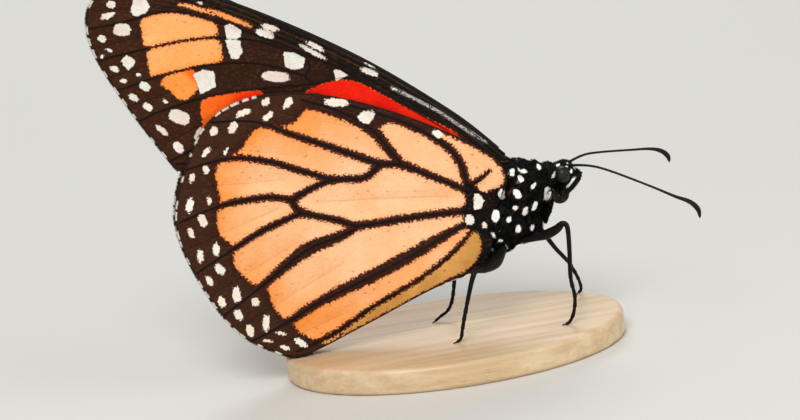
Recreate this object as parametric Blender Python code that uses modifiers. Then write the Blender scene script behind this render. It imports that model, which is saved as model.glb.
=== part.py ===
"""Monarch butterfly, a life-size still model, on a plain oval base.

The head points to +X, the butterfly's right side to -Y, up is +Z. The origin is the centre of the base's
underside. Sizes are in millimetres until the objects are made, which turns them into metres.
"""

import math

import bmesh
import bpy
from mathutils import Matrix, Vector

MM = 0.001
WELD = 1e-6
TURN_MERGE = 1e-5
SHARP = math.radians(40)

# Stand
BASE_LENGTH = 40.0
BASE_WIDTH = 28.0
BASE_HEIGHT = 3.0
BASE_EDGE = 0.6
FOOT_GAP = 0.03

# Wings: the outlines as seen from the side, each side as (x, z) points of a smooth curve
WING_THICKNESS = 0.5
FOREWING = {
    "costa": [(8.0, 23.2), (2.5, 28.9), (-8.1, 37.4), (-21.8, 45.7), (-33.3, 50.0)],
    "outer": [(-33.3, 50.0), (-36.4, 47.4), (-37.2, 44.2), (-36.3, 40.4), (-33.8, 35.0), (-31.2, 30.2),
              (-29.4, 27.0)],
    "inner": [(7.0, 19.7), (-10.0, 22.8), (-21.3, 25.1), (-29.4, 27.0)],
    "root": [(8.0, 23.2), (8.5, 21.6), (7.0, 19.7)],
}
HINDWING = {
    "costa": [(6.9, 18.9), (7.7, 20.7), (6.8, 23.0), (3.1, 25.9), (-5.1, 30.5), (-12.2, 33.3), (-18.8, 34.2)],
    "outer": [(-18.8, 34.2), (-24.0, 32.9), (-27.3, 29.4), (-30.3, 22.0), (-29.3, 15.4), (-25.4, 7.6),
              (-20.1, 3.6)],
    "inner": [(4.2, 10.9), (-3.9, 8.3), (-11.3, 5.4), (-17.0, 3.4), (-20.1, 3.5)],
    "root": [(6.9, 18.9), (6.1, 17.0), (5.8, 14.5), (4.2, 10.9)],
}
WING_CELLS = (16, 12)
FOREWING_OFFSET = 0.55
WING_STEP = 0.7
SHOULDER_RISE = 1.75
SHOULDER_REACH = 7.0
SHOULDER = (7.8, 21.2)
# At the root the wings draw in to this depth, over a share of their length and of their depth
ROOT_DEPTH = 1.9
FOREWING_ROOT = 0.05
HINDWING_ROOT = 0.07
HINDWING_ROOT_SPAN = (0.12, 0.75)
HINDWING_ROOT_SOFT = 0.12

# Body, as ellipsoids: centre (x, y, z) and radii
MESOTHORAX = ((9.3, 0, 18.2), (3.5, 2.75, 4.1))
THORAX_LOBES = [
    ((11.5, 0, 19.4), (1.6, 1.8, 2.35)),
    ((6.6, 0, 15.2), (3.4, 2.6, 4.2)),
    ((9.0, 0, 14.1), (3.0, 2.0, 2.3)),
    ((8.2, 1.9, 21.0), (1.5, 0.8, 1.4)),
    ((8.2, -1.9, 21.0), (1.5, 0.8, 1.4)),
]
HEAD = ((15.0, 0, 19.4), (1.6, 1.45, 1.85))
EYE = ((14.5, 1.45, 19.8), (1.0, 0.9, 1.08))
NECK = ((13.2, 0, 19.5), (1.3, 1.35, 1.85))
ABDOMEN_FRONT = (6.5, 0, 12.1)
ABDOMEN_TIP = (-13.5, 0, 7.3)
ABDOMEN_RADII = [1.5, 1.85, 1.95, 1.95, 1.9, 1.8, 1.65, 1.45, 1.1, 0.7, 0]
# The hindwings swell out round the abdomen: how far, over what height and share of it, and how slowly it fades
ABDOMEN_BULGE = 1.1
BULGE_HEIGHT = 4.2
BULGE_SHARE = 0.6
BULGE_FADE = 7.0
BODY_GAP = 0.1
SOCKET_GAP = 0.06

# Mouthparts and feelers
PALP = [(14.1, 0.85, 17.1), (15.0, 0.85, 17.6), (15.9, 0.8, 18.3), (16.6, 0.7, 19.0), (17.0, 0.65, 19.6)]
PALP_RADII = [0.42, 0.44, 0.42, 0.34, 0.25]
COIL_CENTRE = (14.3, 0, 16.9)
COIL_RADIUS = 1.05
COIL_HALF_WIDTH = 0.32
COIL_CORNER = 0.2
RIGHT_ANTENNA = [(15.7, 0.5, 20.4), (17.9, 1.6, 20.2), (20.0, 3.0, 19.5), (23.8, 5.6, 17.7),
                 (26.1, 7.2, 16.5), (27.6, 8.1, 15.8), (28.4, 8.6, 14.9), (28.5, 8.8, 13.8)]
LEFT_ANTENNA = [(15.7, 0.5, 20.5), (17.8, 1.3, 20.9), (20.0, 2.2, 20.7), (24.0, 4.2, 19.9),
                (26.6, 5.7, 19.3), (28.2, 6.7, 18.6), (29.1, 7.3, 17.7), (29.3, 7.6, 16.8)]
ANTENNA_RADII = [0.25, 0.25, 0.25, 0.25, 0.28, 0.4, 0.45, 0.3]

# Legs, from the coxa to the claw: (x, y, z) with y outwards, and the radius at each point
RIGHT_MID = [(9.0, 1.2, 12.6, 0.6), (11.7, 3.2, 13.4, 0.55), (13.3, 4.7, 14.7, 0.45),
             (13.75, 4.95, 14.2, 0.35), (13.6, 5.4, 11.7, 0.3), (13.3, 5.8, 8.5, 0.28), (13.5, 6.0, 6.3, 0.25),
             (13.2, 6.0, 4.5, 0.25), (12.6, 6.0, 3.4, 0.25), (12.0, 6.0, 3.15, 0.25)]
LEFT_MID = [(9.0, 1.2, 12.6, 0.6), (10.6, 3.2, 12.9, 0.55), (12.0, 4.3, 12.4, 0.45), (12.6, 4.6, 11.6, 0.35),
            (13.9, 4.8, 9.4, 0.3), (15.3, 5.2, 7.4, 0.28), (16.2, 5.6, 5.5, 0.25), (16.6, 5.9, 4.2, 0.25),
            (16.6, 6.0, 3.5, 0.25), (16.2, 6.0, 3.15, 0.25)]
RIGHT_HIND = [(6.7, 1.4, 12.2, 0.55), (5.65, 2.7, 11.35, 0.8), (3.8, 4.3, 10.9, 0.55), (2.5, 5.3, 11.0, 0.42),
              (1.95, 5.7, 10.3, 0.35), (1.35, 5.8, 8.7, 0.3), (0.4, 6.0, 5.9, 0.28), (0.0, 6.0, 4.5, 0.25),
              (-0.3, 6.0, 3.5, 0.25), (-0.9, 6.0, 3.15, 0.25)]
LEFT_HIND = [(7.2, 1.3, 12.2, 0.6), (5.7, 2.7, 11.3, 0.55), (3.8, 3.9, 10.8, 0.5), (2.5, 4.5, 10.8, 0.42),
             (1.9, 4.5, 10.0, 0.33), (1.5, 4.3, 8.3, 0.3), (0.9, 4.4, 5.5, 0.28), (0.2, 4.3, 4.2, 0.25),
             (-0.8, 4.2, 3.6, 0.25), (-1.6, 4.0, 3.15, 0.25)]
FORELEG = [(11.4, 0.95, 17.7, 0.42), (12.75, 0.95, 16.9, 0.42), (12.6, 0.95, 15.8, 0.4),
           (12.15, 0.95, 14.9, 0.36), (11.95, 0.95, 14.2, 0.3)]

# Colours as linear red, green, blue
BLACK = (0.012, 0.010, 0.008)
HINDWING_ORANGE = (0.90, 0.45, 0.16)
FOREWING_BROWN = (0.06, 0.025, 0.012)
EYE_GREY = (0.03, 0.035, 0.03)
CLAW_BROWN = (0.03, 0.02, 0.015)
MAPLE = (0.62, 0.46, 0.30)


def material(name, colour, roughness):
    made = bpy.data.materials.new(name)
    made.use_nodes = True
    shader = made.node_tree.nodes["Principled BSDF"]
    shader.inputs["Base Color"].default_value = (*colour, 1)
    shader.inputs["Roughness"].default_value = roughness
    return made


def new_object(name, mesh, collection, made_of=None):
    obj = bpy.data.objects.new(name, mesh)
    collection.objects.link(obj)
    if made_of:
        mesh.materials.clear()
        mesh.materials.append(made_of)
    mesh.shade_smooth()
    return obj


def mesh_from(bm, name):
    """A mesh in metres from a bmesh in millimetres."""
    bmesh.ops.recalc_face_normals(bm, faces=bm.faces)
    bmesh.ops.scale(bm, vec=(MM, MM, MM), verts=bm.verts)
    mesh = bpy.data.meshes.new(name)
    bm.to_mesh(mesh)
    bm.free()
    return mesh


def as_mesh(obj):
    """The object with its modifiers applied, or its curve turned into a welded mesh."""
    bpy.context.view_layer.update()
    graph = bpy.context.evaluated_depsgraph_get()
    mesh = bpy.data.meshes.new_from_object(obj.evaluated_get(graph), depsgraph=graph)
    bm = bmesh.new()
    bm.from_mesh(mesh)
    bmesh.ops.remove_doubles(bm, verts=bm.verts, dist=WELD)
    bmesh.ops.recalc_face_normals(bm, faces=bm.faces)
    bm.to_mesh(mesh)
    bm.free()
    mesh.shade_smooth()
    made = bpy.data.objects.new(obj.name, mesh)
    made.matrix_world = obj.matrix_world
    for collection in obj.users_collection:
        collection.objects.link(made)
    name = obj.name
    bpy.data.objects.remove(obj)
    made.name = name
    return made


def boolean(obj, other, operation):
    modifier = obj.modifiers.new(operation.lower(), "BOOLEAN")
    modifier.operation = operation
    modifier.object = other


def ellipsoid(name, shape, collection, grow=0.0, segments=20, rings=12, made_of=None):
    centre, radii = shape
    bm = bmesh.new()
    bmesh.ops.create_uvsphere(bm, u_segments=segments, v_segments=rings, radius=1)
    bmesh.ops.scale(bm, vec=[radius + grow for radius in radii], verts=bm.verts)
    bmesh.ops.translate(bm, vec=centre, verts=bm.verts)
    return new_object(name, mesh_from(bm, name), collection, made_of)


def mirrored(shape, side):
    """An ellipsoid's values for one side: -1 is the butterfly's right, 1 its left."""
    (x, y, z), radii = shape
    return (x, side * y, z), radii


def joined(name, shapes, collection, grow=0.0, made_of=None):
    """Overlapping ellipsoids made one body."""
    body = ellipsoid(name, shapes[0], collection, grow, made_of=made_of)
    lobes = [ellipsoid(f"{name}_lobe", shape, collection, grow, 16, 10) for shape in shapes[1:]]
    for lobe in lobes:
        boolean(body, lobe, "UNION")
    body = as_mesh(body)
    for lobe in lobes:
        bpy.data.objects.remove(lobe)
    return body


def smooth_route(points, count, steps=16):
    """count points, evenly spaced, on the smooth curve through the given ones."""
    ends = [points[0], *points, points[-1]]
    fine = []
    for i in range(len(points) - 1):
        p0, p1, p2, p3 = (Vector(p) for p in ends[i:i + 4])
        for step in range(steps):
            t = step / steps
            fine.append(0.5 * (2 * p1 + (p2 - p0) * t + (2 * p0 - 5 * p1 + 4 * p2 - p3) * t * t
                               + (3 * p1 - p0 - 3 * p2 + p3) * t ** 3))
    fine.append(Vector(points[-1]))
    reach = [0.0]
    for a, b in zip(fine, fine[1:]):
        reach.append(reach[-1] + (b - a).length)
    route, at = [], 0
    for i in range(count):
        want = reach[-1] * i / (count - 1)
        while at < len(fine) - 2 and reach[at + 1] < want:
            at += 1
        share = (want - reach[at]) / (reach[at + 1] - reach[at])
        route.append(fine[at].lerp(fine[at + 1], share))
    return route


def tube(name, points, radii, collection, made_of=None, count=16, sides=2):
    """A bent tube through (x, y, z) points, whose radius runs through the given ones."""
    route = smooth_route([(*point, radius) for point, radius in zip(points, radii)], count)
    curve = bpy.data.curves.new(name, "CURVE")
    curve.dimensions = "3D"
    curve.bevel_depth = MM
    curve.bevel_resolution = sides
    curve.use_fill_caps = True
    spline = curve.splines.new("POLY")
    spline.points.add(count - 1)
    for point, (x, y, z, radius) in zip(spline.points, route):
        point.co = (x * MM, y * MM, z * MM, 1)
        point.radius = radius
    obj = bpy.data.objects.new(name, curve)
    collection.objects.link(obj)
    obj = as_mesh(obj)
    if made_of:
        obj.data.materials.clear()
        obj.data.materials.append(made_of)
    return obj


def shoulder_bow(x, z):
    """How far a forewing's middle lies from the midplane: close to it, spreading to the thorax."""
    away = (x - SHOULDER[0]) ** 2 + (z - SHOULDER[1]) ** 2
    return FOREWING_OFFSET + SHOULDER_RISE * math.exp(-away / SHOULDER_REACH ** 2)


def abdomen_bow(x, z):
    """How far a hindwing swells out beside the abdomen."""
    front, tip = Vector(ABDOMEN_FRONT).xz, Vector(ABDOMEN_TIP).xz
    along = (tip - front).normalized()
    offset = Vector((x, z)) - front
    behind = max(offset.dot(along) - BULGE_SHARE * (tip - front).length, 0)
    across = offset.dot(Vector((-along.y, along.x)))
    return ABDOMEN_BULGE * math.exp(-(across / BULGE_HEIGHT) ** 2 - (behind / BULGE_FADE) ** 2)


def window(value, low, high, soft):
    """1 between low and high, falling to 0 over soft on each side."""
    rise = min(max((value - low) / soft, 0), 1)
    fall = min(max((high - value) / soft, 0), 1)
    return min(rise, fall)


def forewing_place(u, v, x, z):
    bow = shoulder_bow(x, z)
    hold = math.exp(-(u / FOREWING_ROOT) ** 2)
    return bow + (ROOT_DEPTH - bow) * hold


def hindwing_place(u, v, x, z):
    bow = shoulder_bow(x, z) + WING_STEP + abdomen_bow(x, z)
    hold = math.exp(-(u / HINDWING_ROOT) ** 2) * window(v, *HINDWING_ROOT_SPAN, HINDWING_ROOT_SOFT)
    return bow + (ROOT_DEPTH - bow) * hold


def wing(name, outline, place, side, clearances, collection, made_of):
    """A sheet spread between the four sides of the outline, given its thickness and fitted to the body."""
    across, down = WING_CELLS
    costa = smooth_route(outline["costa"], across + 1)
    inner = smooth_route(outline["inner"], across + 1)
    root = smooth_route(outline["root"], down + 1)
    outer = smooth_route(outline["outer"], down + 1)
    bm = bmesh.new()
    bmesh.ops.create_grid(bm, x_segments=across, y_segments=down, size=0.5)
    for vert in bm.verts:
        u, v = vert.co.x + 0.5, vert.co.y + 0.5
        i, j = round(u * across), round(v * down)
        corners = (costa[0] * (1 - u) * (1 - v) + costa[-1] * u * (1 - v)
                   + inner[0] * (1 - u) * v + inner[-1] * u * v)
        point = costa[i] * (1 - v) + inner[i] * v + root[j] * (1 - u) + outer[j] * u - corners
        vert.co = (point.x, side * place(u, v, point.x, point.y), point.y)
    obj = new_object(name, mesh_from(bm, name), collection, made_of)
    solid = obj.modifiers.new("thickness", "SOLIDIFY")
    solid.thickness = WING_THICKNESS * MM
    solid.offset = 0
    for clearance in clearances:
        boolean(obj, clearance, "DIFFERENCE")
    return obj


def abdomen(name, grow, collection, made_of=None):
    """A turned body whose radii run from the waist to the tip, laid along its axis."""
    front, tip = Vector(ABDOMEN_FRONT), Vector(ABDOMEN_TIP)
    length = (tip - front).length
    last = len(ABDOMEN_RADII) - 1
    sides = [(length * i / last, radius + grow) for i, radius in enumerate(ABDOMEN_RADII[:-1])]
    curve = [(-grow, 0.0), *sides]
    bm = bmesh.new()
    rings = [(length + grow, 0.0), *reversed(curve)]
    profile = [bm.verts.new((radius * MM, 0, along * MM)) for along, radius in rings]
    for a, b in zip(profile, profile[1:]):
        bm.edges.new((a, b))
    mesh = bpy.data.meshes.new(name)
    bm.to_mesh(mesh)
    bm.free()
    obj = new_object(name, mesh, collection, made_of)
    turn = (tip - front).to_track_quat("Z", "Y")
    obj.matrix_world = Matrix.Translation(front * MM) @ turn.to_matrix().to_4x4()
    screw = obj.modifiers.new("turn", "SCREW")
    screw.axis = "Z"
    screw.steps = screw.render_steps = 20
    screw.use_merge_vertices = True
    screw.merge_threshold = TURN_MERGE
    return obj


def flatten_foot(obj):
    """Small flats where the foot stands on the base."""
    floor = (BASE_HEIGHT + FOOT_GAP) * MM
    for vert in obj.data.vertices:
        vert.co.z = max(vert.co.z, floor)


def leg(name, points, side, clearances, collection, made_of, count=18):
    centres = [(x, side * y, z) for x, y, z, _ in points]
    radii = [radius for *_, radius in points]
    obj = tube(name, centres, radii, collection, made_of, count)
    flatten_foot(obj)
    for clearance in clearances:
        boolean(obj, clearance, "DIFFERENCE")
    return obj


def coil(name, collection, clearances, made_of):
    """The rolled proboscis as one thick round disc, its axis across the head."""
    bm = bmesh.new()
    half, radius, corner = COIL_HALF_WIDTH, COIL_RADIUS, COIL_CORNER
    outline = [(0, half), (radius - corner, half), (radius, half - corner), (radius, corner - half),
               (radius - corner, -half), (0, -half)]
    profile = [bm.verts.new((r * MM, 0, h * MM)) for r, h in outline]
    for a, b in zip(profile, profile[1:]):
        bm.edges.new((a, b))
    mesh = bpy.data.meshes.new(name)
    bm.to_mesh(mesh)
    bm.free()
    obj = new_object(name, mesh, collection, made_of)
    obj.rotation_euler = (math.pi / 2, 0, 0)
    obj.location = Vector(COIL_CENTRE) * MM
    screw = obj.modifiers.new("turn", "SCREW")
    screw.axis = "Z"
    screw.steps = screw.render_steps = 24
    screw.use_merge_vertices = True
    screw.merge_threshold = TURN_MERGE
    for clearance in clearances:
        boolean(obj, clearance, "DIFFERENCE")
    return obj


def stand(name, collection, made_of):
    bpy.ops.mesh.primitive_cylinder_add(vertices=48, radius=1, depth=1)
    obj = bpy.context.active_object
    for owner in obj.users_collection:
        owner.objects.unlink(obj)
    collection.objects.link(obj)
    obj.name = obj.data.name = name
    size = Matrix.Diagonal((BASE_LENGTH / 2, BASE_WIDTH / 2, BASE_HEIGHT, 1)) * MM
    size[3][3] = 1
    obj.data.transform(Matrix.Translation((0, 0, BASE_HEIGHT / 2 * MM)) @ size)
    obj.data.materials.append(made_of)
    edge = obj.modifiers.new("edge", "BEVEL")
    edge.width = BASE_EDGE * MM
    edge.segments = 2
    edge.limit_method = "ANGLE"
    edge.angle_limit = SHARP
    obj.data.shade_smooth()
    obj.data.set_sharp_from_angle(angle=SHARP)
    return obj


def build():
    for obj in list(bpy.data.objects):
        bpy.data.objects.remove(obj)
    parts = bpy.data.collections.new("monarch_butterfly")
    cutters = bpy.data.collections.new("cutters")
    for collection in (parts, cutters):
        bpy.context.scene.collection.children.link(collection)

    black = material("black_body", BLACK, 0.7)
    orange = material("hindwing_scales", HINDWING_ORANGE, 0.6)
    brown = material("forewing_scales", FOREWING_BROWN, 0.6)
    grey = material("eye", EYE_GREY, 0.25)
    horn = material("leg_cuticle", CLAW_BROWN, 0.4)
    wood = material("maple_base", MAPLE, 0.45)

    stand("stand_base", parts, wood)

    thorax_shapes = [MESOTHORAX, *THORAX_LOBES]
    joined("thorax", thorax_shapes, parts, made_of=black)
    around_thorax = joined("around_thorax", thorax_shapes, cutters, BODY_GAP)
    around_head = ellipsoid("around_head", HEAD, cutters, BODY_GAP)
    around_abdomen = abdomen("around_abdomen", BODY_GAP, cutters)

    head = ellipsoid("head", HEAD, parts, made_of=black)
    boolean(abdomen("abdomen", 0, parts, black), around_thorax, "DIFFERENCE")
    neck = ellipsoid("neck", NECK, parts, made_of=black)
    boolean(neck, around_thorax, "DIFFERENCE")
    boolean(neck, around_head, "DIFFERENCE")
    coil("proboscis", parts, [around_head], horn)

    for side, word in ((-1, "right"), (1, "left")):
        ellipsoid(f"eye_{word}", mirrored(EYE, side), parts, segments=16, rings=10, made_of=grey)
        socket = ellipsoid(f"socket_{word}", mirrored(EYE, side), cutters, SOCKET_GAP, 16, 10)
        boolean(head, socket, "DIFFERENCE")
        boolean(neck, socket, "DIFFERENCE")

        palp = tube(f"palp_{word}", [(x, side * y, z) for x, y, z in PALP], PALP_RADII, parts, black, 9)
        boolean(palp, around_head, "DIFFERENCE")
        route = RIGHT_ANTENNA if side < 0 else LEFT_ANTENNA
        route = [(x, side * y, z) for x, y, z in route]
        feeler = tube(f"antenna_{word}", route, ANTENNA_RADII, parts, black, 18, 1)
        boolean(feeler, around_head, "DIFFERENCE")

        around_body = [around_thorax, around_abdomen]
        wing(f"forewing_{word}", FOREWING, forewing_place, side, [around_thorax], parts, brown)
        wing(f"hindwing_{word}", HINDWING, hindwing_place, side, around_body, parts, orange)

        leg(f"leg_fore_{word}", FORELEG, side, [around_thorax], parts, horn, 9)
        mid = RIGHT_MID if side < 0 else LEFT_MID
        hind = RIGHT_HIND if side < 0 else LEFT_HIND
        leg(f"leg_mid_{word}", mid, side, [around_thorax], parts, horn)
        leg(f"leg_hind_{word}", hind, side, around_body, parts, horn)

    for obj in cutters.objects:
        obj.hide_render = True
        obj.display_type = "WIRE"


build()
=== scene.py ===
import math

import bpy
import numpy as np
from mathutils import Matrix, Vector


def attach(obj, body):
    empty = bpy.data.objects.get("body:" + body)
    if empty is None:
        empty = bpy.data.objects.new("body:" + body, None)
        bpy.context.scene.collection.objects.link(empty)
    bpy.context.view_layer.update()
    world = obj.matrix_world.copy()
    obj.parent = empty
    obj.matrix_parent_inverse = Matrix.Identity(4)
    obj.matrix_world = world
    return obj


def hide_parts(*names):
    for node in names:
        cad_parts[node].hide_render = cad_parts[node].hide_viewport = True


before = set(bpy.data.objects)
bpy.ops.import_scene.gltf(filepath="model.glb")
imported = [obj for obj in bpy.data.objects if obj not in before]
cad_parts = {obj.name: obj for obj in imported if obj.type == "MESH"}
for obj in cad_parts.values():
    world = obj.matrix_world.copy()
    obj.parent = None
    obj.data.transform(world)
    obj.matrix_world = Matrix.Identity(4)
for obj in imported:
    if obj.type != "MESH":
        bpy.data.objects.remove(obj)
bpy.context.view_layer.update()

# A monarch butterfly at rest with its wings closed, on a small maple base.
# Shapes are worked out in millimetres and made metres at the end.
# The head points to +X and the right side to -Y.
mm = 0.001
draw = np.random.default_rng(11)
bothSides = ((-1, "right"), (1, "left"))


def deselectAll():
    if bpy.context.object and bpy.context.object.mode != "OBJECT":
        bpy.ops.object.mode_set(mode="OBJECT")
    bpy.ops.object.select_all(action="DESELECT")


def pick(obj):
    deselectAll()
    obj.select_set(True)
    bpy.context.view_layer.objects.active = obj


def newest(name):
    obj = bpy.context.active_object
    obj.name = obj.data.name = name
    return obj


def readAll(items, name, size=1, kind=float):
    # one property of every vertex, loop or face
    found = np.empty(len(items) * size, kind)
    items.foreach_get(name, found)
    return found.reshape(-1, size) if size > 1 else found


def verts(obj):
    return readAll(obj.data.vertices, "co", 3)


def normals(obj):
    return readAll(obj.data.vertices, "normal", 3)


def setVerts(obj, co):
    obj.data.vertices.foreach_set("co", co.ravel())
    obj.data.update()


def applyModifier(obj, kind, **settings):
    pick(obj)
    modifier = obj.modifiers.new(kind.lower(), kind)
    for key, value in settings.items():
        setattr(modifier, key, value)
    bpy.ops.object.modifier_apply(modifier=modifier.name)


def joinAll(name, objs):
    pick(objs[0])
    for obj in objs[1:]:
        obj.select_set(True)
    if len(objs) > 1:
        bpy.ops.object.join()
    return newest(name)


def addFloat(obj, name, values):
    layer = obj.data.attributes.new(name, "FLOAT", "POINT")
    layer.data.foreach_set("value", values.astype(np.float32))


def finishPiece(obj, materials, nodes=(), smoothAngle=None):
    # from millimetres to metres, with its finish, its body and the solids that it stands for
    obj.data.transform(obj.matrix_world)
    obj.matrix_world = Matrix.Identity(4)
    obj.data.transform(Matrix.Scale(mm, 4))
    if len(obj.data.materials) != len(materials):
        obj.data.materials.clear()
        for made in materials:
            obj.data.materials.append(made)
    else:
        for i, made in enumerate(materials):
            obj.data.materials[i] = made
    pick(obj)
    if smoothAngle is None:
        bpy.ops.object.shade_smooth()
    else:
        bpy.ops.object.shade_smooth_by_angle(angle=math.radians(smoothAngle))
    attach(obj, "root")
    if nodes:
        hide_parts(*nodes)
    return obj


def unit(rows):
    return rows / np.linalg.norm(rows, axis=1)[:, None]


def reachAlong(route):
    # how far along the route each of its points lies
    return np.concatenate([[0], np.cumsum(np.linalg.norm(np.diff(route, axis=0), axis=1))])


def smoothRoute(points, count, steps=16):
    # evenly spaced points on the smooth curve through the given ones
    given = np.array(points, float)
    ends = np.vstack([given[:1], given, given[-1:]])
    t = np.linspace(0, 1, steps, endpoint=False)[:, None]
    fine = []
    for i in range(len(given) - 1):
        p0, p1, p2, p3 = ends[i:i + 4]
        fine.append(0.5 * (2 * p1 + (p2 - p0) * t + (2 * p0 - 5 * p1 + 4 * p2 - p3) * t * t
                           + (3 * p1 - p0 - 3 * p2 + p3) * t ** 3))
    fine = np.vstack([*fine, given[-1:]])
    reach = reachAlong(fine)
    want = np.linspace(0, reach[-1], count)
    return np.stack([np.interp(want, reach, fine[:, k]) for k in range(fine.shape[1])], axis=1)


def toSegments(points, route):
    # for each point: its distance to the nearest stretch of the route, and where on the route that is
    best = np.full(len(points), 1e9)
    place = np.zeros(len(points))
    size = points.shape[1]
    for i in range(len(route) - 1):
        a, b = route[i, :size], route[i + 1, :size]
        run = b - a
        share = np.clip((points - a) @ run / max(run @ run, 1e-9), 0, 1)
        gap = np.linalg.norm(points - a - share[:, None] * run, axis=1)
        near = gap < best
        best[near] = gap[near]
        place[near] = i + share[near]
    return best, place


def bandGap(points, route):
    # how far outside a band of changing half width (the route's last number) each point is
    gap, place = toSegments(points, route)
    half = np.interp(place, np.arange(len(route)), route[:, 2])
    return gap - half, gap


def insideGap(points, outline):
    # distance to a closed outline, positive inside it
    ring = np.vstack([outline, outline[:1]])
    gap, _ = toSegments(points, ring)
    inside = np.zeros(len(points), bool)
    for (ax, az), (bx, bz) in zip(ring, ring[1:]):
        crosses = (az > points[:, 1]) != (bz > points[:, 1])
        if az != bz:
            inside ^= crosses & (points[:, 0] < ax + (points[:, 1] - az) * (bx - ax) / (bz - az))
    return np.where(inside, gap, -gap)


def softLeast(gaps, soft):
    # the least of several distances, with the corners between them rounded
    stack = np.stack(gaps)
    low = stack.min(axis=0)
    return low - soft * np.log(np.exp(-(stack - low) / soft).sum(axis=0))


def spotGap(points, spots, outlines=()):
    # distance to the nearest spot, below 0 inside one
    # spots are ovals (x, z, length, width, degrees), squarer when long, or outlines
    best = np.full(len(points), 9.0)
    for x, z, length, width, degrees in spots:
        turn = math.radians(degrees)
        along = np.array([math.cos(turn), math.sin(turn)])
        offset = points - (x, z)
        a = np.abs(offset @ along) / (length / 2)
        b = np.abs(offset @ (-along[1], along[0])) / (width / 2)
        power = 2.2 if length < 1.7 else 3.0
        far = (a ** power + b ** power) ** (1 / power)
        best = np.minimum(best, (far - 1) * min(length, width) / 2)
    for outline in outlines:
        best = np.minimum(best, -insideGap(points, np.array(outline)))
    return best


def softStep(values, low, high):
    t = np.clip((values - low) / (high - low), 0, 1)
    return t * t * (3 - 2 * t)


def colour(code):
    # an sRGB hex colour as linear red, green, blue and alpha
    parts = [int(code[i:i + 2], 16) / 255 for i in (1, 3, 5)]
    return (*[c / 12.92 if c <= 0.04045 else ((c + 0.055) / 1.055) ** 2.4 for c in parts], 1)


# The kinds of node in use: Blender's name, fixed settings, inputs in the order given, output taken
nodeKinds = {
    "place": ("TexCoord", {}, (), "Object"),
    "mapping": ("Mapping", {}, ("Vector", "Scale", "Rotation"), 0),
    "noise": ("TexNoise", {}, ("Vector", "Scale", "Detail", "Roughness"), 0),
    "cells": ("TexVoronoi", {"feature": "F1"}, ("Vector", "Scale"), "Color"),
    "cellEdges": ("TexVoronoi", {"feature": "DISTANCE_TO_EDGE"}, ("Vector", "Scale"), "Distance"),
    "red": ("SeparateColor", {}, ("Color",), 0),
    "mark": ("Attribute", {}, (), "Fac"),
    "facing": ("LayerWeight", {}, ("Blend",), "Facing"),
    "mix": ("Mix", {"data_type": "RGBA"}, (0, 6, 7), 2),
    "math": ("Math", {}, (0, 1), 0),
    "ramp": ("MapRange", {"interpolation_type": "SMOOTHSTEP"},
             ("Value", "From Min", "From Max", "To Min", "To Max"), 0),
    "bump": ("Bump", {}, ("Height", "Strength", "Distance"), 0),
}


def addNode(tree, kind, *values, **settings):
    # one node with its settings; each input is a value, a hex colour or another node's output
    name, fixed, inputs, output = nodeKinds[kind]
    node = tree.nodes.new("ShaderNode" + name)
    for key, value in {**fixed, **settings}.items():
        setattr(node, key, value)
    for key, value in zip(inputs, values):
        if isinstance(value, bpy.types.NodeSocket):
            tree.links.new(value, node.inputs[key])
        else:
            node.inputs[key].default_value = colour(value) if isinstance(value, str) else value
    return node.outputs[output]


def newMaterial(name, **sockets):
    # fixed values go on the shader's own sockets
    made = bpy.data.materials.new(name)
    made.use_nodes = True
    shader = made.node_tree.nodes["Principled BSDF"]
    for key, value in sockets.items():
        shader.inputs[key.replace("_", " ")].default_value = value
    return made, made.node_tree


def layered(tree, shade, *layers):
    # colours laid one over another: each where its mark lies between two values, at most so strongly
    for mark, low, high, most, over in layers:
        share = addNode(tree, "ramp", mark, low, high, 0.0, most)
        shade = addNode(tree, "mix", share, shade, over)
    return shade


def finishMaterial(made, shade, height=None, strength=1.0, distance=1.0):
    # the pattern's colour, and its relief
    tree, shader = made.node_tree, made.node_tree.nodes["Principled BSDF"]
    tree.links.new(shade, shader.inputs["Base Color"])
    if height is not None:
        tree.links.new(addNode(tree, "bump", height, strength, distance), shader.inputs["Normal"])
    return made


# The camera looks down a little on the butterfly's right side, and is turned as the butterfly is tilted.
view = {
    "target": (-4.6, 0.0, 18.2),
    "distance": 400.0,
    "azimuth": -8.0,
    "elevation": 14.0,
    "roll": 7.2,
    "lens": 155.9,
    "sensor": 36.0,
    "clipStart": 0.02,
}


def addCamera():
    turn, rise, roll = (math.radians(view[key]) for key in ("azimuth", "elevation", "roll"))
    right = Vector((math.cos(turn), math.sin(turn), 0))
    back = Vector((math.sin(turn) * math.cos(rise), -math.cos(turn) * math.cos(rise), math.sin(rise)))
    up = back.cross(right)
    acrossImage = right * math.cos(roll) - up * math.sin(roll)
    upImage = right * math.sin(roll) + up * math.cos(roll)
    spot = (Vector(view["target"]) + back * view["distance"]) * mm
    bpy.ops.object.camera_add()
    camera = newest("camera")
    axes = Matrix((acrossImage, upImage, back)).transposed()
    camera.matrix_world = Matrix.Translation(spot) @ axes.to_4x4()
    camera.data.lens = view["lens"]
    camera.data.sensor_width = view["sensor"]
    camera.data.clip_start = view["clipStart"]
    bpy.context.scene.camera = camera


studio = {
    "floor": "#d9d7d0",
    "floorSize": 6.0,
    "sky": "#eef1f4",
    "skyStrength": 0.46,
    "aim": (0.0, 0.0, 0.02),
    # each light's power in watts, its size and its place in metres
    "lights": {
        "key": (2.5, 0.30, (-0.16, -0.42, 0.46)),
        "fill": (0.8, 0.40, (0.42, -0.34, 0.22)),
        "rim": (1.1, 0.30, (0.05, 0.45, 0.40)),
    },
}


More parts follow.
